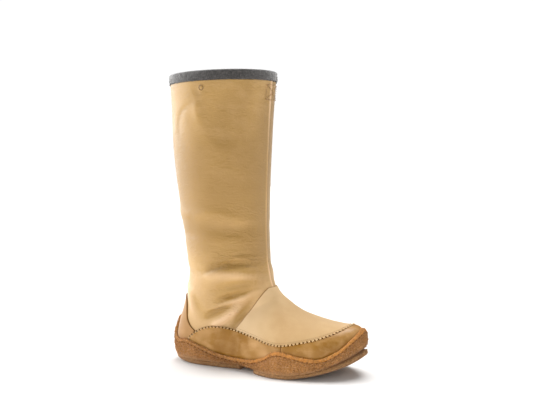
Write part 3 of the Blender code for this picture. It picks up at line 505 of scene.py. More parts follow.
# Angles round half a section, closer together at its ends and its side.  Points of the form are
# worked out in chunks, and its normals over small steps of place and turn.
HALF_QUARTER = (1 - np.cos(np.linspace(0, math.pi, 33))) / 4 * math.pi
ANGLES = np.concatenate([HALF_QUARTER, math.pi / 2 + HALF_QUARTER[1:]])
CHUNK = 6000
PLACE_STEP = 0.02
TURN_STEP = 0.006


def smooth(knots, values, at):
    """Rows in between on a smooth curve through the rows of a table."""
    knots = np.asarray(knots, float)
    values = np.asarray(values, float)
    slopes = np.gradient(values, knots, axis=0)
    at = np.asarray(at, float)
    index = np.clip(np.searchsorted(knots, at, side="right") - 1, 0, len(knots) - 2)
    step = (knots[index + 1] - knots[index])[:, None]
    share = (at[:, None] - knots[index][:, None]) / step
    rest = 1 - share
    return (
        (1 + 2 * share) * rest**2 * values[index]
        + share * rest**2 * step * slopes[index]
        + share**2 * (3 - 2 * share) * values[index + 1]
        - share**2 * rest * step * slopes[index + 1]
    )


def curve_through(points, steps=8):
    """A smooth polyline through the points of an outline."""
    places = np.linspace(0, len(points) - 1, (len(points) - 1) * steps + 1)
    return smooth(range(len(points)), points, places)


def read_table(table, at):
    """Values at places, on straight lines between a table's rows of a place and a value."""
    places, values = zip(*table)
    return np.interp(at, places, values)


def unit(vectors):
    """Vectors made one long."""
    return vectors / np.linalg.norm(vectors, axis=-1, keepdims=True)


def lengths_along(points):
    """How far along its line each point lies."""
    steps = np.linalg.norm(np.diff(points, axis=-2), axis=-1)
    return np.concatenate([0 * steps[..., :1], np.cumsum(steps, axis=-1)], axis=-1)


def along_line(line, lengths, wanted):
    """Points of a line where its lengths reach the wanted ones."""
    return np.stack([np.interp(wanted, lengths, column) for column in line.T], axis=-1)


def lumps(points, size, seed):
    """Smooth noise at points, from -1 to 1."""
    flat = points.reshape(-1, 3) / size + seed
    values = [noise.noise(Vector(point)) for point in flat]
    return np.array(values).reshape(points.shape[:-1])


def unevenness(points, table):
    """How far an uneven surface stands off at its points."""
    return sum(row.height * lumps(points, row.size, row.seed) for row in table)


# The form of foot and leg


def section_rows():
    """Both tables of sections as one, in metres."""
    shaft = [
        (row.back, row.back_height, row.front, row.front_height, row.half_width, row.half_width)
        + EVEN_SECTION
        for row in LEVELS
    ]
    foot = [row[1:] for row in CROSSES]
    parts = []
    for rows, height in ((shaft, SHAFT_HEIGHT), (foot, INSTEP_HEIGHT)):
        part = np.array(rows, float)
        part[:, (0, 2)] = HEEL_BACK_X + part[:, (0, 2)] * FOOT_LENGTH / 100
        part[:, (1, 3)] = part[:, (1, 3)] * height / 100
        part[:, 4:8] = part[:, 4:8] * BALL_WIDTH / 100
        parts.append(part)
    return np.concatenate(parts)


SECTIONS = section_rows()
SECTION_KNOTS = lengths_along(SECTIONS[:, :4])


def section_points(columns, angle, on_outer):
    """Points of sections at angles round them, 0 at the top or front."""
    (under_x, under_z, top_x, top_z, outer, inner, under_y, top_y, widest, low, high) = columns
    above = np.cos(angle) > 0
    power = np.where(above, high, low)
    reach = np.abs(np.cos(angle)) ** (2 / power)
    spread = np.abs(np.sin(angle)) ** (2 / power)
    along = np.where(above, widest + (1 - widest) * reach, widest * (1 - reach))
    side = np.where(on_outer, -outer, inner)
    middle = np.where(above, top_y, under_y)
    return np.stack(
        [
            under_x + (top_x - under_x) * along,
            middle + (side - middle) * spread,
            under_z + (top_z - under_z) * along,
        ],
        axis=-1,
    )


def some_surface(place, turn):
    """Points of the form for a short list of places and turns.  A turn is a share of the length
    round half a section."""
    knots = np.interp(place, range(len(SECTIONS)), SECTION_KNOTS)
    columns = smooth(SECTION_KNOTS, SECTIONS, knots).T
    on_outer = turn >= 0
    half = section_points(columns[:, :, None], ANGLES[None, :], on_outer[:, None])
    lengths = lengths_along(half)
    wanted = np.abs(turn) * lengths[:, -1]
    index = np.clip((lengths <= wanted[:, None]).sum(axis=1) - 1, 0, len(ANGLES) - 2)
    rows = np.arange(len(half))
    start = lengths[rows, index]
    share = (wanted - start) / (lengths[rows, index + 1] - start)
    angle = ANGLES[index] + (ANGLES[index + 1] - ANGLES[index]) * share
    return section_points(columns, angle, on_outer)


def surface(place, turn):
    """Points of the foot and leg form.  Turn runs from 0 at the front or top to 1 at the back or
    underside on the outer side, and to -1 on the inner side."""
    place, turn = np.broadcast_arrays(np.asarray(place, float), np.asarray(turn, float))
    shape = place.shape
    place = place.reshape(-1)
    turn = (turn.reshape(-1) + 1) % 2 - 1
    parts = [
        some_surface(place[start : start + CHUNK], turn[start : start + CHUNK])
        for start in range(0, len(place), CHUNK)
    ]
    return np.concatenate(parts).reshape(shape + (3,))


def outward(place, turn):
    """The form's unit normals, facing out."""
    place, turn = np.broadcast_arrays(np.asarray(place, float), np.asarray(turn, float))
    down = surface(np.minimum(place + PLACE_STEP, LAST_PLACE), turn)
    down = down - surface(np.maximum(place - PLACE_STEP, 0), turn)
    round_it = surface(place, turn + TURN_STEP) - surface(place, turn - TURN_STEP)
    return unit(np.cross(round_it, down))


def crease_height(points):
    """How far the creased leather stands off the smooth form."""
    flat = points.reshape(-1, 3) / MM
    height = np.zeros(len(flat))
    for crease in CREASES:
        route = ((crease.x1, crease.z1), (crease.x2, crease.z2), (crease.x3, crease.z3))
        line = curve_through(route, 10)
        reach = CREASE_REACH * max(crease.above, crease.below)
        seen = flat[:, ::2]
        near = ((seen > line.min(axis=0) - reach) & (seen < line.max(axis=0) + reach)).all(axis=1)
        away = seen[near][:, None, :] - line[None]
        distance = (away**2).sum(axis=2)
        nearest = distance.argmin(axis=1)
        rows = np.arange(len(nearest))
        width = np.where(away[rows, nearest, 1] > 0, crease.above, crease.below)
        share = np.clip(nearest / (len(line) - 1), 0.03, 0.97)
        taper = np.sin(math.pi * share) ** CREASE_TAPER
        strength = crease.height * taper * np.exp(-distance[rows, nearest] / width**2)
        if crease.side:
            strength *= np.clip(0.5 - crease.side * flat[near][:, 1] / CREASE_FADE, 0, 1)
        height[near] += strength
    return (height * FOLD_DEPTH * MM).reshape(points.shape[:-1])


def wrinkle_share(points):
    """How strongly fine wrinkles show at each point."""
    x, z = points[..., 0] / MM, points[..., 2] / MM
    share = np.full(x.shape, WRINKLED_ALL_OVER)
    for patch in WRINKLED:
        off = ((x - patch.x) / patch.along) ** 2 + ((z - patch.z) / patch.up) ** 2
        share = np.maximum(share, patch.strength * np.exp(-off))
    return share


def dressed(place, turn, lift):
    """Points that stand off the creased leather."""
    base = surface(place, turn)
    height = crease_height(base) + lift
    return base + outward(place, turn) * height[..., None]


def on_form(outline, sign, first_place=PLACES["above_ankle"], last_place=LAST_PLACE):
    """Place and turn of each point of an outline seen from the side, on one side of the form.
    The nearest point of a coarse net comes first, and small steps lead on from there."""
    rows = np.linspace(first_place, last_place, 181)
    columns = np.linspace(0, 1, 81)
    net = surface(rows[:, None], sign * columns[None, :])[..., ::2].reshape(-1, 2)
    target = np.asarray(outline, float)
    nearest = ((net[None] - target[:, None]) ** 2).sum(axis=2).argmin(axis=1)
    place = rows[nearest // len(columns)]
    turn = columns[nearest % len(columns)]
    nudge, least_area, rounds = 0.004, 1e-7, 14
    most_place, most_turn = 0.3, 0.05
    for _ in range(rounds):
        here = surface(place, sign * turn)[:, ::2]
        by_place = (surface(place + nudge, sign * turn)[:, ::2] - here) / nudge
        by_turn = (surface(place, sign * (turn + nudge))[:, ::2] - here) / nudge
        miss = target - here
        area = by_place[:, 0] * by_turn[:, 1] - by_place[:, 1] * by_turn[:, 0]
        area = np.where(np.abs(area) < least_area, least_area, area)
        move_place = (miss[:, 0] * by_turn[:, 1] - miss[:, 1] * by_turn[:, 0]) / area
        move_turn = (by_place[:, 0] * miss[:, 1] - by_place[:, 1] * miss[:, 0]) / area
        place = place + np.clip(move_place, -most_place, most_place)
        place = np.clip(place, 0, LAST_PLACE - 2 * nudge)
        turn = np.clip(turn + np.clip(move_turn, -most_turn, most_turn), 0.002, 0.99)
    return np.stack([place, sign * turn], axis=1)


def resampled(edge, shares):
    """Points of an edge, given as places and turns, at shares of its length."""
    lengths = lengths_along(surface(*edge.T))
    return along_line(edge, lengths / lengths[-1], shares)


def skin_tree(grow, first_place, rows=150, columns=160):
    """A search tree of the form grown outwards by a distance."""
    places = np.linspace(first_place, LAST_PLACE, rows)[:, None]
    turns = np.linspace(-1, 1, columns + 1)[None, :-1]
    points = surface(places, turns) + outward(places, turns) * grow
    faces = grid_faces(rows, columns, closed=True).tolist()
    faces.append(list(range((rows - 1) * columns, rows * columns)))
    return BVHTree.FromPolygons([Vector(point) for point in points.reshape(-1, 3)], faces)


# Meshes


def add_object(name, data):
    """An object in the scene, made of a mesh, a camera or a lamp."""
    made = bpy.data.objects.new(name, data)
    bpy.context.scene.collection.objects.link(made)
    return made


def add_mesh(name, points, faces, material, smooth_it=True):
    """An object of points and faces that rides on the boot."""
    mesh = bpy.data.meshes.new(name)
    mesh.from_pydata(np.asarray(points).tolist(), [], np.asarray(faces).tolist())
    mesh.materials.append(material)
    if smooth_it:
        mesh.shade_smooth()
    made = add_object(name, mesh)
    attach(made, "root")
    return made


def grid_faces(rows, columns, closed=False):
    """Faces of a grid of points, row by row."""
    row = np.arange(rows - 1)[:, None] * columns
    column = np.arange(columns if closed else columns - 1)[None, :]
    after = (column + 1) % columns
    corners = [row + column, row + after, row + columns + after, row + columns + column]
    return np.stack(corners, axis=-1).reshape(-1, 4)


def add_grid(name, points, material, closed=False):
    """An object made of rows of points."""
    faces = grid_faces(*points.shape[:2], closed)
    return add_mesh(name, points.reshape(-1, 3), faces, material)


def add_flakes(name, corners, material):
    """Many loose four-cornered flakes as one object."""
    points = np.stack(corners, axis=1).reshape(-1, 3)
    faces = np.arange(len(points)).reshape(-1, 4)
    return add_mesh(name, points, faces, material, smooth_it=False)


def facing_out(made):
    """Turn a piece's faces to look out."""
    bm = bmesh.new()
    bm.from_mesh(made.data)
    bmesh.ops.recalc_face_normals(bm, faces=bm.faces)
    bm.to_mesh(made.data)
    bm.free()


def give_values(made, **values):
    """Store named values for each vertex, for the material to read."""
    for name, numbers in values.items():
        layer = made.data.attributes.new(name, "FLOAT", "POINT")
        layer.data.foreach_set("value", np.asarray(numbers, np.float32).reshape(-1))


def by_row(values, points):
    """One value for each row of a grid, repeated for all its points."""
    return np.broadcast_to(np.asarray(values)[:, None], points.shape[:2])


def circle_round(spot, side, up, radius, sides):
    """The corners of a small circle round a spot."""
    return [
        spot + radius * (side * math.cos(angle) + up * math.sin(angle))
        for angle in 2 * math.pi * np.arange(sides) / sides
    ]


def tubes(name, paths, radius, material, sides=6):
    """Many short round threads in one piece, each through a few points."""
    points = []
    faces = []
    for path in paths:
        path = np.asarray(path)
        heading = unit(np.gradient(path, axis=0))
        start = unit(np.cross(heading[0], SLANT))
        faces.append(grid_faces(len(path), sides, closed=True) + len(points))
        for index, (spot, ahead) in enumerate(zip(path, heading)):
            side = unit(start - ahead * (start @ ahead))
            thick = radius * (TUBE_END if index in (0, len(path) - 1) else 1.0)
            points += circle_round(spot, side, np.cross(ahead, side), thick, sides)
    return add_mesh(name, points, np.concatenate(faces), material)


def discs(name, spots, normals, radius, material, sides=8):
    """Small discs that paint the shade in needle holes."""
    points = []
    for spot, normal in zip(spots, normals):
        side = unit(np.cross(normal, SLANT))
        points += circle_round(spot, side, np.cross(normal, side), radius, sides)
    faces = np.arange(len(points)).reshape(-1, sides)
    return add_mesh(name, points, faces, material)


# Materials


def node(tree, kind, inputs=None, **settings):
    """Add a node.  Inputs are values or other nodes' sockets."""
    made = tree.nodes.new(kind)
    for name, value in settings.items():
        setattr(made, name, value)
    for name, value in (inputs or {}).items():
        if isinstance(value, bpy.types.NodeSocket):
            tree.links.new(value, made.inputs[name])
        else:
            made.inputs[name].default_value = value
    return made


def colour(red, green, blue):
    """A colour given as it shows on a screen, in linear light."""
    values = np.array((red, green, blue)) / 255
    linear = np.where(values <= 0.04045, values / 12.92, ((values + 0.055) / 1.055) ** 2.4)
    return (*linear, 1.0)


def plain(name, finish, roughness, **sockets):
    """A material and its tree, with whole-surface values on the shader's own sockets."""
    material = bpy.data.materials.new(name)
    material.use_nodes = True
    shader = material.node_tree.nodes["Principled BSDF"]
    shader.inputs["Base Color"].default_value = finish
    shader.inputs["Roughness"].default_value = roughness
    for socket, value in sockets.items():
        shader.inputs[socket.replace("_", " ")].default_value = value
    return material, material.node_tree, shader


def textured(tree, size, detail, stretch=(1, 1, 1), roughness=0.55, distortion=0.0):
    """A noise in the boot's own metres, with the size of its features given in millimetres."""
    place = node(tree, "ShaderNodeTexCoord").outputs["Object"]
    if stretch != (1, 1, 1):
        place = node(tree, "ShaderNodeMapping", {"Vector": place, "Scale": stretch}).outputs[0]
    inputs = {
        "Vector": place,
        "Scale": 1000 / size,
        "Detail": detail,
        "Roughness": roughness,
        "Distortion": distortion,
    }
    return node(tree, "ShaderNodeTexNoise", inputs).outputs["Fac"]


def level(tree, source, low, high, to_low=0.0, to_high=1.0):
    """A value stretched from one range to another, held at its ends."""
    ranges = {"From Min": low, "From Max": high, "To Min": to_low, "To Max": to_high}
    return node(tree, "ShaderNodeMapRange", {"Value": source, **ranges}).outputs["Result"]


def mixed(tree, share, first, second):
    """Two colours mixed.  The node's inputs 0, 6 and 7 are its share and its two colours."""
    inputs = {0: share, 6: first, 7: second}
    return node(tree, "ShaderNodeMix", inputs, data_type="RGBA").outputs[2]


def toned(tree, finish, shade, source, low, high, most=1.0):
    """A finish with a shade over it, which shows more as a source goes from low to high."""
    return mixed(tree, level(tree, source, low, high, 0, most), finish, shade)


def bumped(tree, height, distance, strength, under=None):
    """A bump over another bump."""
    inputs = {"Height": height, "Distance": distance, "Strength": strength}
    if under is not None:
        inputs["Normal"] = under
    return node(tree, "ShaderNodeBump", inputs).outputs["Normal"]


def product(tree, first, second):
    """Two values multiplied."""
    return node(tree, "ShaderNodeMath", {0: first, 1: second}, operation="MULTIPLY").outputs[0]


def stored(tree, name):
    """A value that a piece stores for each vertex."""
    return node(tree, "ShaderNodeAttribute", attribute_name=name).outputs["Fac"]


def set_finish(tree, shader, finish, normal):
    """Lead a colour and a bump to the shader."""
    tree.links.new(finish, shader.inputs["Base Color"])
    tree.links.new(normal, shader.inputs["Normal"])


def leather(name, base, dark, light, roughness, grain, creased, mottle, shine, nap):
    """Leather with a fine grain, faint wrinkles across it, soft patches of colour, and the painted
    highlights and shade that its pieces store with their tone.
    """
    material, tree, shader = plain(
        name, base, roughness, Sheen_Weight=nap, Sheen_Roughness=0.35, Specular_IOR_Level=shine
    )
    patches = textured(tree, 80, 2, stretch=(1, 1, 0.7), distortion=0.5)
    clouds = textured(tree, 17, 4, stretch=(1, 1, 1.5), roughness=0.6)
    pores = textured(tree, 1.5, 3, roughness=0.7)
    finish = toned(tree, base, dark, patches, 0.36, 0.64, 0.7)
    finish = toned(tree, finish, light, clouds, 0.45, 0.78, mottle)
    finish = toned(tree, finish, dark, pores, 0.62, 0.30, 0.22 * grain)
    # The stored tone is partly soft random patches and partly painted light: highlights and shade
    # of the folds, the ankle, the seam, the vamp and the wrap
    tone = stored(tree, "tone")
    finish = toned(tree, finish, light, tone, 0, 1, 0.8)
    finish = toned(tree, finish, dark, tone, 0, -1, 0.8)
    # The stored rim darkens the panels' dyed cut edges, and paints the shadow in the front seam's
    # groove
    finish = mixed(tree, stored(tree, "rim"), finish, EDGE_DYE_AND_SHADE_BROWN)
    tree.links.new(
        level(tree, clouds, 0.3, 0.7, roughness - 0.06, roughness + 0.08),
        shader.inputs["Roughness"],
    )
    long_wrinkles = textured(tree, 5.0, 3, stretch=(0.40, 0.40, 1.0), roughness=0.5, distortion=1.0)
    short_wrinkles = textured(tree, 2.2, 3, stretch=(0.7, 0.7, 1.1), roughness=0.6, distortion=1.0)
    wrinkled = stored(tree, "wrinkled")
    normal = bumped(tree, product(tree, long_wrinkles, wrinkled), 0.0026 * creased, 1.0)
    normal = bumped(tree, product(tree, short_wrinkles, wrinkled), 0.0008 * creased, 1.0, normal)
    normal = bumped(tree, pores, 0.00022, 0.5 * grain, normal)
    set_finish(tree, shader, finish, normal)
    return material


def crepe(name, base, dark, light, lip, low, deep):
    """Crepe rubber: crumbly and mottled, brighter on its rolled lip, greyer near the floor, and
    darkened with painted shade in its groove, where its lip tucks in, and in specks under the lip."""
    material, tree, shader = plain(
        name, base, 0.9, Sheen_Weight=0.12, Sheen_Roughness=0.5, Specular_IOR_Level=0.2
    )
    crumbs = textured(tree, 2.2, 4, roughness=0.75)
    specks = textured(tree, 1.3, 3, roughness=0.7)
    patches = textured(tree, 13, 3, roughness=0.6)
    finish = toned(tree, dark, base, crumbs, 0.36, 0.60)
    finish = toned(tree, finish, light, specks, 0.52, 0.72, 0.8)
    finish = toned(tree, finish, dark, patches, 0.48, 0.72, 0.4)
    finish = mixed(tree, stored(tree, "low"), finish, mixed(tree, 0.55, finish, low))
    crumbly = product(tree, stored(tree, "lip"), level(tree, crumbs, 0.38, 0.56, 0.25, 0.9))
    finish = mixed(tree, crumbly, finish, lip)
    finish = mixed(tree, stored(tree, "deep"), finish, deep)
    normal = bumped(tree, crumbs, 0.0022, 0.9)
    set_finish(tree, shader, finish, bumped(tree, specks, 0.0010, 0.9, normal))
    return material


def felt(name, base, dark, light):
    """Grey wool felt of mixed fibres."""
    material, tree, shader = plain(
        name, base, 0.95, Sheen_Weight=0.9, Sheen_Roughness=0.5, Specular_IOR_Level=0.2
    )
    fibres = textured(tree, 1.3, 3, stretch=(1.0, 1.0, 0.5), roughness=0.7, distortion=1.5)
    clumps = textured(tree, 2.6, 3, roughness=0.7)
    finish = toned(tree, dark, base, fibres, 0.4, 0.62)
    finish = toned(tree, finish, light, clumps, 0.5, 0.75, 0.5)
    normal = bumped(tree, clumps, 0.0012, 0.6)
    set_finish(tree, shader, finish, bumped(tree, fibres, 0.0006, 0.8, normal))
    return material


def thread(name, base, dark):
    """Waxed thread with a twist."""
    material, tree, shader = plain(name, base, 0.6, Sheen_Weight=0.2)
    twist = textured(tree, 0.6, 2)
    finish = toned(tree, dark, base, twist, 0.35, 0.65)
    set_finish(tree, shader, finish, bumped(tree, twist, 0.0002, 0.6))
    return material


def matt(name, shade):
    """A dark colour without any gloss, for the sole's thread, and for painted shade in holes and
    along the vamp's edge.
    """
    return plain(name, shade, 1.0, Specular_IOR_Level=0.0)[0]


# Brown of the dyed cut edges, and of the painted shadow in the front seam's groove
EDGE_DYE_AND_SHADE_BROWN = colour(104, 70, 26)
SHAFT = leather(
    "shaft_leather", colour(188, 147, 77), colour(150, 112, 44), colour(226, 189, 146),
    roughness=0.52, grain=0.7, creased=1.05, mottle=0.20, shine=0.90, nap=0.22,
)
VAMP = leather(
    "vamp_leather", colour(193, 161, 116), colour(184, 150, 104), colour(222, 194, 154),
    roughness=0.75, grain=0.5, creased=0.3, mottle=0.20, shine=0.25, nap=0.25,
)
WRAP = leather(
    "wrap_leather", colour(162, 116, 46), colour(135, 92, 27), colour(198, 156, 102),
    roughness=0.44, grain=0.35, creased=0.5, mottle=0.75, shine=0.40, nap=0.0,
)
COUNTER = leather(
    "counter_leather", colour(172, 131, 84), colour(150, 110, 64), colour(192, 150, 104),
    roughness=0.70, grain=0.5, creased=0.5, mottle=0.45, shine=0.25, nap=0.2,
)
# Dark brown for the painted shade in the crepe's groove and under its lip
RECESS_SHADE_BROWN = colour(84, 48, 16)
CREPE = crepe(
    "crepe", colour(198, 140, 78), colour(150, 98, 48), colour(236, 198, 150),
    lip=colour(216, 148, 72), low=colour(178, 138, 100), deep=RECESS_SHADE_BROWN,
)
TREAD = crepe(
    "tread_crepe", colour(172, 128, 82), colour(130, 90, 54), colour(200, 162, 118),
    lip=colour(172, 128, 82), low=colour(152, 116, 84), deep=RECESS_SHADE_BROWN,
)
FELT = felt("felt", colour(78, 75, 73), colour(52, 50, 49), colour(112, 108, 104))
THREAD = thread("thread", colour(236, 206, 152), colour(206, 168, 110))
TONAL = thread("tonal_thread", colour(168, 128, 76), colour(132, 96, 52))
CRACK = matt("sole_thread", colour(112, 68, 28))
# Painted shade in the needle holes and between the whip stitches
HOLE_SHADE = matt("needle_hole_shade", colour(88, 52, 14))
# Partly edge paint, partly painted shade along the vamp's edge
EDGE_PAINT_AND_SHADE = matt("edge_paint_and_shade", colour(146, 104, 56))


# The upper and its panels


def upper_leather():
    """The shaft and foot of the boot, with its folds, its seam and its turned collar."""
    places = np.interp(np.arange(UPPER_ROWS[-1] + 1), UPPER_ROWS, UPPER_PLACES)
    turns = np.concatenate([-SIDE_TURNS[-2::-1], SEAM_TURNS, SIDE_TURNS])
    base = surface(places[:, None], turns)
    normal = outward(places[:, None], turns)
    above_vamp = np.clip((VAMP_PEAK_PLACE - places) / SEAM_FADE, 0, 1)[:, None]
    folds = crease_height(base)
    height = folds + SEAM_RISE * read_table(SEAM_HEIGHTS, turns) * above_vamp
    outside = base + normal * height[..., None]
    collar = [base[0] + normal[0] * out + (0, 0, rise) for out, rise in COLLAR_ROLL]
    inside = [
        surface(place, turns) - outward(place, turns) * UPPER_WALL
        for place in INSIDE_PLACES
    ]
    rings = np.concatenate([inside[::-1], collar[::-1], outside])
    made = add_grid("upper_leather", rings, SHAFT, closed=True)
    facing_out(made)
    # Painted highlights on the folds' ridges and painted shade in their troughs, and lighter
    # leather low down where it faces the overhead lamp
    tone = folds / FOLD_PAINTED_LIGHT + read_table(SHAFT_TONES_AND_PAINTED_LIGHT, base[..., 2] / MM)
    # Soft random patches, and a painted highlight along the seam's raised edge
    tone += SHAFT_PATCHY * lumps(base, *SHAFT_PATCHES) + read_table(SEAM_PAINTED_HIGHLIGHT, turns)
    # The rim here paints the shadow in the seam's groove
    rim = read_table(SEAM_PAINTED_SHADOW, turns) * above_vamp
    inner_rows = np.zeros((len(inside) + len(collar), len(turns)))
    wrinkled, tone, rim = [
        np.concatenate([inner_rows, values]) for values in (wrinkle_share(base), tone, rim)
    ]
    give_values(made, wrinkled=wrinkled, tone=tone, rim=rim)
    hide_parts("upper")


def rimmed(length, count, first=True, last=True):
    """Shares of a length for lines across a panel, and the share of its thickness at each."""
    shortest = 1e-6
    scale = min(1.0, length / NARROW_PANEL) * MM / max(length, shortest)
    start = [(distance * scale, height) for distance, height in RIM] if first else [(0.0, 1.0)]
    end = [(1 - distance * scale, height) for distance, height in RIM[::-1]]
    end = end if last else [(1.0, 1.0)]
    inside = [(share, 1.0) for share in np.linspace(start[-1][0], end[0][0], count)[1:-1]]
    return np.array(start + inside + end).T


# The kinds of panels: material, slot, thickness, tones along the foot, which paint light on vamp
# and wrap, and depth of soft patches
Kind = namedtuple("Kind", "material slot thickness tones patchy")
VAMP_KIND = Kind(VAMP, "vamp_leather", VAMP_LEATHER, VAMP_PAINTED_LIGHT, 0.15)
WRAP_KIND = Kind(WRAP, "wrap_leather", WRAP_LEATHER, WRAP_TONES_AND_HIGHLIGHT, 0.6)
COUNTER_KIND = Kind(COUNTER, "counter_leather", WRAP_LEATHER, COUNTER_TONES, 0.5)


def panel(name, solid, first_edge, last_edge, across, along, kind, ends=(True, True)):
    """A leather panel on the form between two edges of places and turns, with so many lines
    across it and along it."""
    length = lengths_along(surface(*first_edge.T))[-1]
    columns, column_height = rimmed(length, along, *ends)
    start = resampled(first_edge, columns)[:, None]
    span = resampled(last_edge, columns)[:, None] - start
    even = np.linspace(0, 1, 33)
    fine = start + span * even[:, None]
    lengths = lengths_along(surface(fine[..., 0], fine[..., 1]))
    row_height = rimmed(lengths[:, -1].max(), across)[1]
    least_rise = even * 1e-9
    shares = [
        np.interp(rimmed(line[-1], across)[0] * line[-1], line + least_rise, even)
        for line in lengths
    ]
    net = start + span * np.stack(shares)[..., None]
    height = np.minimum(column_height[:, None], row_height[None, :])
    points = dressed(net[..., 0], net[..., 1], GAP + kind.thickness * height)
    made = add_grid(name, points, kind.material)
    facing_out(made)
    base = surface(net[..., 0], net[..., 1])
    patches = lumps(points * PANEL_SQUEEZE, *PANEL_PATCHES)
    # Painted light along the foot on vamp and wrap, over soft random patches
    tone = read_table(kind.tones, points[..., 0] / MM) + kind.patchy * patches
    rim = read_table(RIM_DARK, height)
    give_values(made, wrinkled=wrinkle_share(base) * PANEL_WRINKLED, rim=rim, tone=tone)
    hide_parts(solid)


def over_middle(edge, place):
    """An edge carried on to the middle of the foot, which it crosses at a place."""
    turns = np.linspace(1, 0, 9)[1:] * edge[-1, 1]
    share = (turns / edge[-1, 1]) ** 2
    places = place + (edge[-1, 0] - place) * share
    return np.concatenate([edge, np.stack([places, turns], axis=1)])


def side_edges(sign):
    """The panels' edges on one side, as places and turns."""
    crossings = (WRAP_FRONT_PLACE, TUCK_FRONT_PLACE, VAMP_PEAK_PLACE)
    crossing_edges = [
        over_middle(on_form(curve_through(outline), sign), place)
        for outline, place in zip((WRAP_TOP, WRAP_TUCK, VAMP_EDGE), crossings)
    ]
    return Edges(*crossing_edges, on_form(curve_through(COUNTER_EDGE, 6), sign))


def joined_edges(outer, inner):
    """One edge from the outer side over the middle to the inner side."""
    return np.concatenate([outer, inner[-2::-1]])


def cut_at(edge, x):
    """An edge cut in two where it passes an x."""
    along = surface(*edge.T)[:, 0]
    index = int(np.argmax(along > x))
    share = (x - along[index - 1]) / (along[index] - along[index - 1])
    spot = edge[index - 1] + (edge[index] - edge[index - 1]) * share
    return np.concatenate([edge[:index], [spot]]), np.concatenate([[spot], edge[index:]])


def front_edge(outer, inner, x):
    """The part of an edge round the toe, in front of an x."""
    return joined_edges(cut_at(outer, x)[1], cut_at(inner, x)[1])


def panels():
    """Vamp, wrap and counter, and the edges that their stitching follows."""
    outer = side_edges(1)
    inner = side_edges(-1)
    vamp_edge = joined_edges(outer.vamp, inner.vamp)
    vamp_low = front_edge(outer.wrap_top, inner.wrap_top, surface(*outer.vamp[0])[0])
    no_ends = (False, False)
    panel("vamp_panel", "vamp", vamp_edge, vamp_low, 70, 170, VAMP_KIND, no_ends)
    for name, edges in (("wrap_outer", outer), ("wrap_inner", inner)):
        rear_top, rear_tuck = [
            cut_at(edge, BUTT_SEAM_X)[0] for edge in (edges.wrap_top, edges.tuck)
        ]
        panel(f"{name}_panel", name, rear_top, rear_tuck, 26, 110, WRAP_KIND)
    front_top = front_edge(outer.wrap_top, inner.wrap_top, BUTT_SEAM_X)
    front_tuck = front_edge(outer.tuck, inner.tuck, BUTT_SEAM_X)
    panel("wrap_front_panel", "wrap_front", front_top, front_tuck, 26, 170, WRAP_KIND)
    behind = inner.counter + (0, 2)
    panel("counter_panel", "heel_counter", outer.counter, behind, 70, 80, COUNTER_KIND)
    return joined_edges(outer.wrap_top, inner.wrap_top), vamp_edge


# The sole


def sole_stations(count):
    """Stations evenly round the sole, from the back of the heel over the outer side."""
    outer = [(row.x, -row.outer) + row[4:] for row in WALLS]
    inner = [(row.x, row.inner) + row[4:] for row in WALLS[-2:0:-1]]
    loop = np.array(outer + inner)
    padded = np.concatenate([loop[-2:], loop, loop[:3]])
    knots = lengths_along(padded[:, :2])
    spots = np.linspace(knots[2], knots[-3], count + 1)[:-1]
    values = smooth(knots, padded, spots)
    nudge = 0.0005
    ahead = smooth(knots, padded[:, :2], spots + nudge)
    heading = unit(ahead - smooth(knots, padded[:, :2], spots - nudge))
    away = np.stack([heading[:, 1], -heading[:, 0], np.zeros(count)], axis=1)
    away *= -np.sign(away[0, 0])
    spot = np.concatenate([values[:, :2], np.zeros((count, 1))], axis=1)
    ground = np.maximum(values[:, 4], 0)
    return Stations(spot, away, values[:, 2], values[:, 3], ground, *values[:, 5:].T)


def station_ring(stations, inset, height):
    """A ring round the sole at a distance inside its outline and at a height."""
    ring = stations.spot - stations.away * np.broadcast_to(inset, len(stations.spot))[:, None]
    ring[:, 2] = height
    return ring


def wall_hits(stations, heights, tree):
    """How far the upper reaches at each station and height, measured inwards from the outline."""
    start = 0.030
    reach = []
    for spot, away, height in zip(stations.spot, stations.away, heights):
        origin = Vector(spot - away * start)
        origin.z = height
        distance = tree.ray_cast(origin, Vector(away))[3]
        reach.append(start - (distance or start))
    return np.array(reach)


def heel_to_ball(stations, values):
    """A value for each station that changes from the heel to the ball."""
    return np.interp(stations.spot[:, 0], HEEL_TO_BALL, values)


def cup_lines(stations):
    """The lip's lines and the lines of the groove, wall and lower edge, round the whole sole."""
    tree = skin_tree(GAP + WRAP_LEATHER + GAP, PLACES["heel_upper"])
    seat = wall_hits(stations, stations.lip - SEAT_DROP, tree)
    seat = (seat + np.roll(seat, 1) + np.roll(seat, -1)) / 3

    def beside(drop, proud):
        reach = wall_hits(stations, stations.lip - drop, tree)
        return station_ring(stations, np.minimum(reach, seat) - proud, stations.lip - drop)

    lip = [beside(line.drop, line.share * LIP_THICKNESS) for line in LIP_LINES]
    groove_depth = GROOVE_DEPTH * heel_to_ball(stations, GROOVE_SHARES)
    groove_z = stations.lip - GROOVE_DROP
    groove = beside(GROOVE_DROP, LIP_THICKNESS - groove_depth)
    widest_z = stations.foot + stations.widest * (groove_z - stations.foot)
    widest = station_ring(stations, 0, widest_z)
    shoulder = 0.45 * groove + 0.55 * widest
    shoulder[:, 2] = 0.6 * groove_z + 0.4 * widest_z
    low = station_ring(stations, 0.35 * stations.tuck, 0.45 * widest_z + 0.55 * stations.foot)
    edge = station_ring(stations, stations.tuck, stations.foot)
    wall = np.stack([groove, shoulder, widest, low, edge]).reshape(len(WALL_KNOTS), -1)
    fine = smooth(WALL_KNOTS, wall, WALL_SHARES)
    return np.stack(lip), fine.reshape(len(WALL_SHARES), -1, 3)


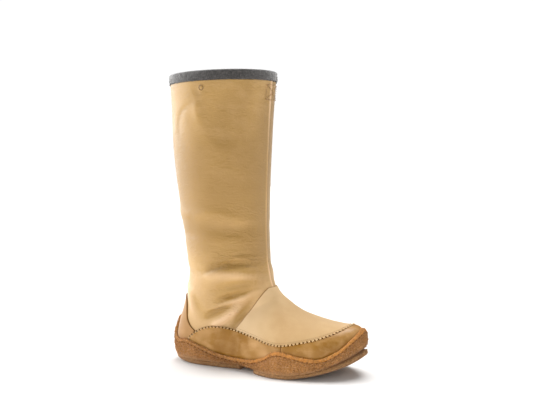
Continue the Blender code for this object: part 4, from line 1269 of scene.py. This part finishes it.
def crepe_cup(stations):
    """The crumbly crepe cup with its rolled lip, groove and bulging wall, down to the wall's lower
    edge.
    """
    lip, wall = cup_lines(stations)
    rows = np.concatenate([lip, wall])
    drops = np.array([line.drop for line in LIP_LINES])
    inward = np.array([line.share < 0.1 for line in LIP_LINES])
    bright = heel_to_ball(stations, LIP_BRIGHTNESS)
    lip_share = np.concatenate([~inward * 1.0, 0 * WALL_SHARES])[:, None] * bright
    low_share = np.concatenate([0 * drops, read_table(LOW_CREPE, WALL_SHARES)])
    # Painted shade: full where the lip tucks in against the upper, fading down the wall from the
    # groove, and in specks under the lip
    deep_share = np.concatenate([inward * 1.0, read_table(GROOVE_SHADE, WALL_SHARES)])
    deep_share = by_row(deep_share, rows).copy()
    under_lip = slice(len(drops) - 2, len(drops) + 3)
    shade_specks = np.clip(lumps(rows[under_lip], *SHADE_SPECKS) - 0.05, 0, 0.6)
    deep_share[under_lip] += SHADE_SPECK_DARKNESS * shade_specks
    wall_rough = 0.45 + 0.55 * np.sin(math.pi * WALL_SHARES) ** 0.5
    rough = np.concatenate([LIP_ROUGHNESS + 0 * drops, wall_rough])
    rough[:2] = 0
    push = (unevenness(rows, CREPE_LUMPS) - CREPE_SINK) * rough[:, None]
    rows = rows + stations.away[None] * push[..., None]
    rows[: len(lip), :, 2] += push[: len(lip)]
    made = add_grid("crepe_cup", rows, CREPE, closed=True)
    deep_share = np.clip(deep_share, 0, 1)
    give_values(made, lip=lip_share, low=by_row(low_share, rows), deep=deep_share)
    facing_out(made)
    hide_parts("midsole")
    return rows, lip_share


def halves(ring, share, first_x=None, last_x=None):
    """Both sides of a ring between two places along the foot, at shares of that length."""
    toe = int(np.argmax(ring[:, 0]))
    heel = int(np.argmin(ring[:, 0]))
    outer_side = np.roll(ring, -heel, axis=0)[: (toe - heel) % len(ring) + 1]
    inner_side = np.roll(ring, -toe, axis=0)[: (heel - toe) % len(ring) + 1][::-1]
    low = ring[heel, 0] if first_x is None else first_x
    high = ring[toe, 0] if last_x is None else last_x
    along = low + (high - low) * share
    return [along_line(side, side[:, 0], along) for side in (outer_side, inner_side)]


def round_ends(count, first, last):
    """Shares of a length that lie closer together towards its rounded ends."""
    even = np.linspace(0, 1, count)
    if first and last:
        return (1 - np.cos(math.pi * even)) / 2
    if first:
        return even**1.6
    return 1 - (1 - even) ** 1.6


def between(first, last, across):
    """Lines from the points of one side to those of the other."""
    return first[:, None] + (last - first)[:, None] * across[None, :, None]


def cup_underside(edge):
    """The arched base between the lower edges of the wall."""
    across = np.linspace(0, 1, 25)
    under = between(*halves(edge, round_ends(150, True, True)), across)
    under[..., 2] += UNDER_ARCH * np.sin(math.pi * across)[None, :]
    made = add_grid("crepe_underside", under, CREPE)
    give_values(made, low=np.ones(under.shape[:2]))
    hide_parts("midsole")


def tread_layer(row, stations):
    """A crumbly wearing layer under heel or forefoot, with cross grooves.  Its flat end, towards
    the arch, is closed by a last row of points along the middle."""
    at_heel = row.first_x is None
    share = round_ends(row.rows, at_heel, not at_heel)
    half_way = 0.5 * (stations.foot + stations.ground)
    level_rings = (
        (stations.tuck + 0.0060, stations.foot - 0.0001),
        (stations.tread_tuck - 0.0004, stations.foot - 0.0001),
        (stations.tread_tuck - 0.0010, half_way),
        (stations.tread_tuck - 0.0002, stations.ground + 0.0012),
        (stations.tread_tuck + 0.0012, stations.ground + 0.0001),
    )
    lines = [
        halves(station_ring(stations, inset, height), share, row.first_x, row.last_x)
        for inset, height in level_rings
    ]
    bottom = between(*lines[-1], np.linspace(0, 1, 24)[1:-1]).transpose(1, 0, 2)
    outer_side = [outer for outer, _ in lines]
    inner_side = [inner for _, inner in lines[::-1]]
    points = np.stack([*outer_side, *bottom, *inner_side], axis=1)
    number = np.round((points[..., 0] - row.first_groove) / row.pitch)
    centre = row.first_groove + row.pitch * np.clip(number, 0, row.grooves - 1)
    from_centre = np.abs(points[..., 0] - centre)
    groove = np.clip((TREAD_GROOVE_HALF_WIDTH - from_centre) / TREAD_GROOVE_SIDE, 0, 1)
    column = np.arange(points.shape[1])
    from_edge = np.minimum(column, column[::-1])
    floor_share = np.clip((from_edge - len(lines)) / 2, 0, 1)
    points[..., 2] += TREAD_GROOVE_DEPTH * groove * floor_share
    away = np.where(from_edge < len(lines), np.sign(column - column.mean()), 0)
    points[..., 1] += away * unevenness(points, TREAD_LUMPS)
    flat_end = points[-1:] if at_heel else points[:1]
    cap = flat_end * (1, 0, 1)
    if at_heel:
        cap = cap + flat_end.mean(axis=1, keepdims=True) * (0, 1, 0)
    points = np.concatenate([points, cap] if at_heel else [cap, points])
    made = add_grid(row.name + "_layer", points, TREAD)
    facing_out(made)
    give_values(made, low=np.broadcast_to(floor_share, points.shape[:2]))
    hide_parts(row.name)


def crepe_crumbs(rows, lip_share):
    """Small fibres and crumbs that stand off the lip and the wall."""
    rng = np.random.default_rng(CRUMBS.seed)
    count = CRUMBS.count
    row = rng.integers(2, len(rows) - 3, count)
    column = rng.integers(0, rows.shape[1], count)
    start = rows[row, column]
    ahead = rows[row, (column + 1) % rows.shape[1]] - start
    away = unit(np.cross(rows[row + 1, column] - start, ahead))
    middle = rows.reshape(-1, 3).mean(axis=0)
    away *= np.sign((away * (start - middle)).sum(axis=1, keepdims=True))
    heading = unit(rng.normal(size=(count, 3)) + away * 0.6)
    side = unit(np.cross(heading, away))
    tip = (heading + away * 0.3) * rng.uniform(*CRUMBS.reach, count)[:, None]
    wide = side * rng.uniform(*CRUMBS.wide, count)[:, None]
    corners = (start - wide, start + wide, start + tip + wide, start + tip - wide)
    made = add_flakes("crepe_crumbs", corners, CREPE)
    give_values(made, lip=np.repeat(lip_share[row, column], 4))


def sole_stitches(rows):
    """Dark stitches sunk in the groove under the lip."""
    groove = rows[len(LIP_LINES)]
    loop = np.concatenate([groove, groove[:1]])
    lengths = lengths_along(loop)
    starts = np.arange(0.002, lengths[-1] - 0.003, SOLE_STITCH.pitch)
    spots = starts[:, None] + np.linspace(0, SOLE_STITCH.length, 5)[None, :]
    tubes("sole_stitches", along_line(loop, lengths, spots), SOLE_STITCH.radius, CRACK)


# Felt


def felt_lining():
    """The lining's thick rounded edge above the collar, and its inside down to the insole."""
    knots = np.arange(len(FELT_TOP))
    fine = smooth(knots, FELT_TOP, np.linspace(0, knots[-1], FELT_ROWS))
    turns = np.linspace(-1, 1, 321)[:-1]
    base = surface(0, turns)
    normal = outward(0, turns)
    edge = [base + out * normal + (0, 0, rise) for rise, out in fine]
    places = np.linspace(0.12, LINING_DEPTHS[-1][0], 120)[:, None]
    in_by = read_table(LINING_DEPTHS, places)
    lining = surface(places, turns) - outward(places, turns) * in_by[..., None]
    rows = np.concatenate([np.stack(edge), lining])
    soft = unevenness(rows, FELT_LUMPS)
    rows = rows + normal * soft[..., None]
    wavy = slice(FELT_ROWS_SHOWN // 2, FELT_ROWS_SHOWN)
    rows[wavy, :, 2] += 1.2 * soft[wavy]
    made = add_grid("felt_lining", rows, FELT, closed=True)
    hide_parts("felt_cuff")
    return rows[:FELT_ROWS_SHOWN]


def felt_fuzz(rows):
    """Fine fibres that stand off the felt's edge."""
    rng = np.random.default_rng(FUZZ.seed)
    count = FUZZ.count
    row = rng.integers(1, len(rows), count)
    column = rng.integers(0, rows.shape[1], count)
    start = rows[row, column]
    away = unit(start - rows[:, column].mean(axis=0))
    along = unit(rng.normal(size=(count, 3)) * 0.9 + away * 0.8)
    reach = rng.uniform(*FUZZ.reach, count)[:, None]
    wide = unit(np.cross(along, rng.normal(size=(count, 3)))) * FUZZ.wide
    bend = start + along * reach * 0.5 + away * reach * 0.25 + wide
    tip = start + along * reach + away * reach * 0.1
    add_flakes("felt_fuzz", (start - wide, start + wide, bend, tip), FELT)


def insole_felt():
    """A soft felt sheet on the bottom of the hollow upper."""
    under = SECTIONS[PLACES["heel_corner"] :, :2]
    along = np.linspace(*INSOLE_ENDS, 120)
    height = np.interp(along, under[:, 0], under[:, 1] + UPPER_WALL + INSOLE_GAP + INSOLE_THICKNESS)
    tree = skin_tree(-UPPER_WALL - INSOLE_GAP, PLACES["counter_top"])
    across = np.linspace(-1, 1, 41)
    rounded = INSOLE_ROUNDING * (1 - np.sqrt(np.clip(1 - np.abs(across) ** 7, 0, 1)))
    lines = []
    for x, z in zip(along, height):
        middle = INSOLE_BEND * max(x - INSOLE_BEND_X, 0)
        edges = []
        for direction in (-1, 1):
            hit = tree.ray_cast(Vector((x, middle, z)), Vector((0, direction, 0)))[3]
            edges.append(middle + direction * (hit or 0.001))
        y = (edges[0] + edges[1]) / 2 + across * (edges[1] - edges[0]) / 2 * INSOLE_FIT
        lines.append(np.stack([x + 0 * y, y, z - rounded], axis=1))
    points = np.stack(lines)
    points[..., 2] += unevenness(points, INSOLE_LUMPS)
    made = add_grid("insole_sheet", points, FELT)
    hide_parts("insole")


# Sewing


def stitch_frames(edge, pitch, start=0.0, end=1.0):
    """Evenly spaced frames along an edge."""
    length = lengths_along(surface(*edge.T))[-1]
    count = int(length * (end - start) / pitch)
    shares = np.linspace(start, end, count + 1)
    nudge = 0.0006 / length
    net = resampled(edge, shares)
    ahead = resampled(edge, np.minimum(shares + nudge, 1))
    behind = resampled(edge, np.maximum(shares - nudge, 0))
    normal = outward(*net.T)
    heading = unit(surface(*ahead.T) - surface(*behind.T))
    return Frames(surface(*net.T), normal, heading, np.cross(normal, heading))


def over(frames, across, along, lift):
    """Points beside frames, on the dressed leather."""
    spot, normal, heading, sideways = frames
    moved = spot + sideways * across + heading * along
    return moved + normal * (crease_height(moved) + lift)[:, None]


def whip_stitches(wrap_top):
    """Slanted loops of light thread over the wrap's top edge, and dark discs that paint the shade
    in their holes and in the gaps between the loops.  Returns 1 or -1, the side of the edge that
    the vamp lies on."""
    frames = stitch_frames(wrap_top, WHIP_PITCH, 0.004, 0.996)
    to_vamp = np.sign(frames.sideways[:, 2].mean())

    def spots(table):
        return [
            over(
                frames,
                to_vamp * row.across * MM,
                row.along * MM,
                GAP + row.leather + row.lift * MM,
            )
            for row in table
        ]

    loops = np.stack(spots(WHIP_PATH), axis=1)
    tubes("whip_stitches", loops, WHIP_RADIUS, THREAD)
    holes = np.concatenate(spots(WHIP_HOLES))
    normals = np.tile(frames.normal, (len(WHIP_HOLES), 1))
    discs("whip_hole_shades", holes, normals, HOLE_RADIUS, HOLE_SHADE)
    return to_vamp


def line_stitches(name, frames, across, lift, stitch):
    """Plain stitches along an edge, in a thread of the leather's own tone."""
    lines = [over(frames, across, share * stitch.length, lift + up) for share, up in PLAIN_PATH]
    tubes(name, np.stack(lines, axis=1), stitch.radius, TONAL)


def metres_for_one(place, turn):
    """How far apart a whole place and a whole turn lie, measured over short steps."""
    place_step, turn_step = 0.05, 0.01
    down = surface(place + place_step, turn) - surface(place - place_step, turn)
    across = surface(place, turn + turn_step) - surface(place, turn - turn_step)
    return (
        np.linalg.norm(down, axis=-1) / (2 * place_step),
        np.linalg.norm(across, axis=-1) / (2 * turn_step),
    )


def collar_net(across, height):
    """Places and turns of spots on the front of the collar, from the distance across the front
    line, outer side first, and the height."""
    places = np.linspace(0, 2, 60)
    heights = surface(places, 0.0)[:, 2]
    place = np.interp(height, heights[::-1], places[::-1])
    return np.stack([place, across / metres_for_one(place, 0.0)[1]], axis=1)


def bar_tack():
    """The box of stitches with a cross in it, where the front seam meets the collar."""
    half, low, high = BAR_TACK
    corners = {"a": (half, high), "b": (-half, high), "c": (-half, low), "d": (half, low)}
    frames = []
    for first, last in ("ab", "bc", "cd", "da", "ac", "bd"):
        line = np.linspace(corners[first], corners[last], 30)
        frames.append(stitch_frames(collar_net(*line.T), BAR_STITCH.pitch, 0.04, 0.96))
    joined = [np.concatenate(parts) for parts in zip(*frames)]
    line_stitches("bar_tack", joined, 0.0, SEAM_RISE, BAR_STITCH)


def round_tack():
    """A small round tack under the collar: a raised middle in a stitched ring."""
    place, turn = on_form([TACK_SPOT], 1, 0, 3)[0]
    one_place, one_turn = metres_for_one(place, turn)

    def ring_net(radius, angles):
        far = radius * MM
        return place + far * np.sin(angles) / one_place, turn + far * np.cos(angles) / one_turn

    angles = np.linspace(0, 2 * math.pi, 41)
    rows = [dressed(*ring_net(row.radius, angles[:-1]), row.height * MM) for row in TACK_RINGS]
    points = np.stack(rows)
    made = add_grid("round_tack", points, SHAFT, closed=True)
    facing_out(made)
    rim = by_row([row.rim for row in TACK_RINGS], points)
    give_values(made, wrinkled=np.full(points.shape[:2], 0.3), rim=rim)
    circle = np.stack(ring_net(TACK_STITCH_RADIUS, angles), axis=1)
    frames = [part[:-1] for part in stitch_frames(circle, TACK_STITCH.pitch)]
    lift = TACK_STITCH_LIFT * MM
    line_stitches("tack_stitches", frames, 0.0, lift, TACK_STITCH)


def stitching(wrap_top, vamp_edge):
    """All the sewn lines of the upper, and the dark line of edge paint and painted shade where the
    vamp lies on the shaft.
    """
    line = over(stitch_frames(vamp_edge, EDGE_LINE_STEP), 0.0, 0.0, GAP + EDGE_LINE_LIFT)
    tubes("vamp_edge_paint_and_shade", line[None], EDGE_LINE_RADIUS, EDGE_PAINT_AND_SHADE)
    inwards = whip_stitches(wrap_top) * VAMP_STITCH_INSET
    frames = stitch_frames(wrap_top, VAMP_STITCH.pitch, 0.14, 0.86)
    on_vamp = GAP + VAMP_LEATHER
    line_stitches("vamp_stitches", frames, inwards, on_vamp, VAMP_STITCH)
    bar_tack()
    round_tack()


# Camera, floor and light


def photo_camera():
    """The photograph's view of the outer side."""
    spot = Vector(
        (
            CAMERA_TARGET_X + math.sin(CAMERA_TURN) * CAMERA_DISTANCE,
            -math.cos(CAMERA_TURN) * CAMERA_DISTANCE,
            CAMERA_HEIGHT,
        )
    )
    yaw, pitch, roll = CAMERA_YAW, CAMERA_PITCH, CAMERA_ROLL
    back = Vector(
        (math.sin(yaw) * math.cos(pitch), -math.cos(yaw) * math.cos(pitch), math.sin(pitch))
    )
    level_right = Vector((math.cos(yaw), math.sin(yaw), 0))
    level_up = back.cross(level_right)
    right = level_right * math.cos(roll) + level_up * math.sin(roll)
    up = level_up * math.cos(roll) - level_right * math.sin(roll)
    data = bpy.data.cameras.new("camera")
    data.sensor_width = 36
    data.lens = CAMERA_LENS
    data.clip_start = 0.01
    data.clip_end = 50
    camera = add_object("camera", data)
    rotation = Matrix((right, up, back)).transposed().to_4x4()
    camera.matrix_world = Matrix.Translation(spot) @ rotation
    bpy.context.scene.camera = camera


def pale_floor():
    """The floor that the boot stands on."""
    mesh = bpy.data.meshes.new("floor")
    corners = [(x * FLOOR_HALF, y * FLOOR_HALF, 0) for x, y in ((-1, -1), (1, -1), (1, 1), (-1, 1))]
    mesh.from_pydata(corners, [], [(0, 1, 2, 3)])
    mesh.materials.append(plain("floor", (0.76, 0.75, 0.74, 1.0), 0.9)[0])
    add_object("floor", mesh)


def white_world():
    """A white backdrop, which lights the boot less strongly than it shows itself."""
    world = bpy.data.worlds.new("studio")
    world.use_nodes = True
    tree = world.node_tree
    seen = node(tree, "ShaderNodeLightPath").outputs["Is Camera Ray"]
    background = tree.nodes["Background"]
    background.inputs["Color"].default_value = (1.0, 1.0, 1.0, 1.0)
    tree.links.new(level(tree, seen, 0, 1, AMBIENT, BACKDROP), background.inputs["Strength"])
    world.cycles.sampling_method = "NONE"
    bpy.context.scene.world = world


def soft_lamps():
    """The far soft lamps, and the card that lights the wrap and the sole from near the floor."""
    for name, place, strength, spread in LAMPS:
        data = bpy.data.lights.new(name, "SUN")
        data.energy = strength
        data.angle = math.radians(spread)
        lamp = add_object(name, data)
        lamp.rotation_mode = "QUATERNION"
        lamp.rotation_quaternion = Vector(place).to_track_quat("Z", "Y")
    data = bpy.data.lights.new("card", "AREA")
    data.size = CARD_SIZE
    data.energy = CARD_POWER
    card = add_object("card", data)
    facing = (Vector(CARD_PLACE) - Vector(CARD_AIM)).to_track_quat("Z", "Y")
    card.matrix_world = Matrix.Translation(CARD_PLACE) @ facing.to_matrix().to_4x4()
    card.visible_camera = False
    card.visible_glossy = False


photo_camera()
pale_floor()
white_world()
soft_lamps()
bpy.context.scene.view_settings.view_transform = "Standard"
upper_leather()
wrap_top_edge, vamp_edge = panels()
sole = sole_stations(STATION_COUNT)
cup_rows, cup_lip = crepe_cup(sole)
cup_underside(cup_rows[-1])
crepe_crumbs(cup_rows, cup_lip)
sole_stitches(cup_rows)
for tread in TREADS:
    tread_layer(tread, sole)
felt_fuzz(felt_lining())
insole_felt()
stitching(wrap_top_edge, vamp_edge)
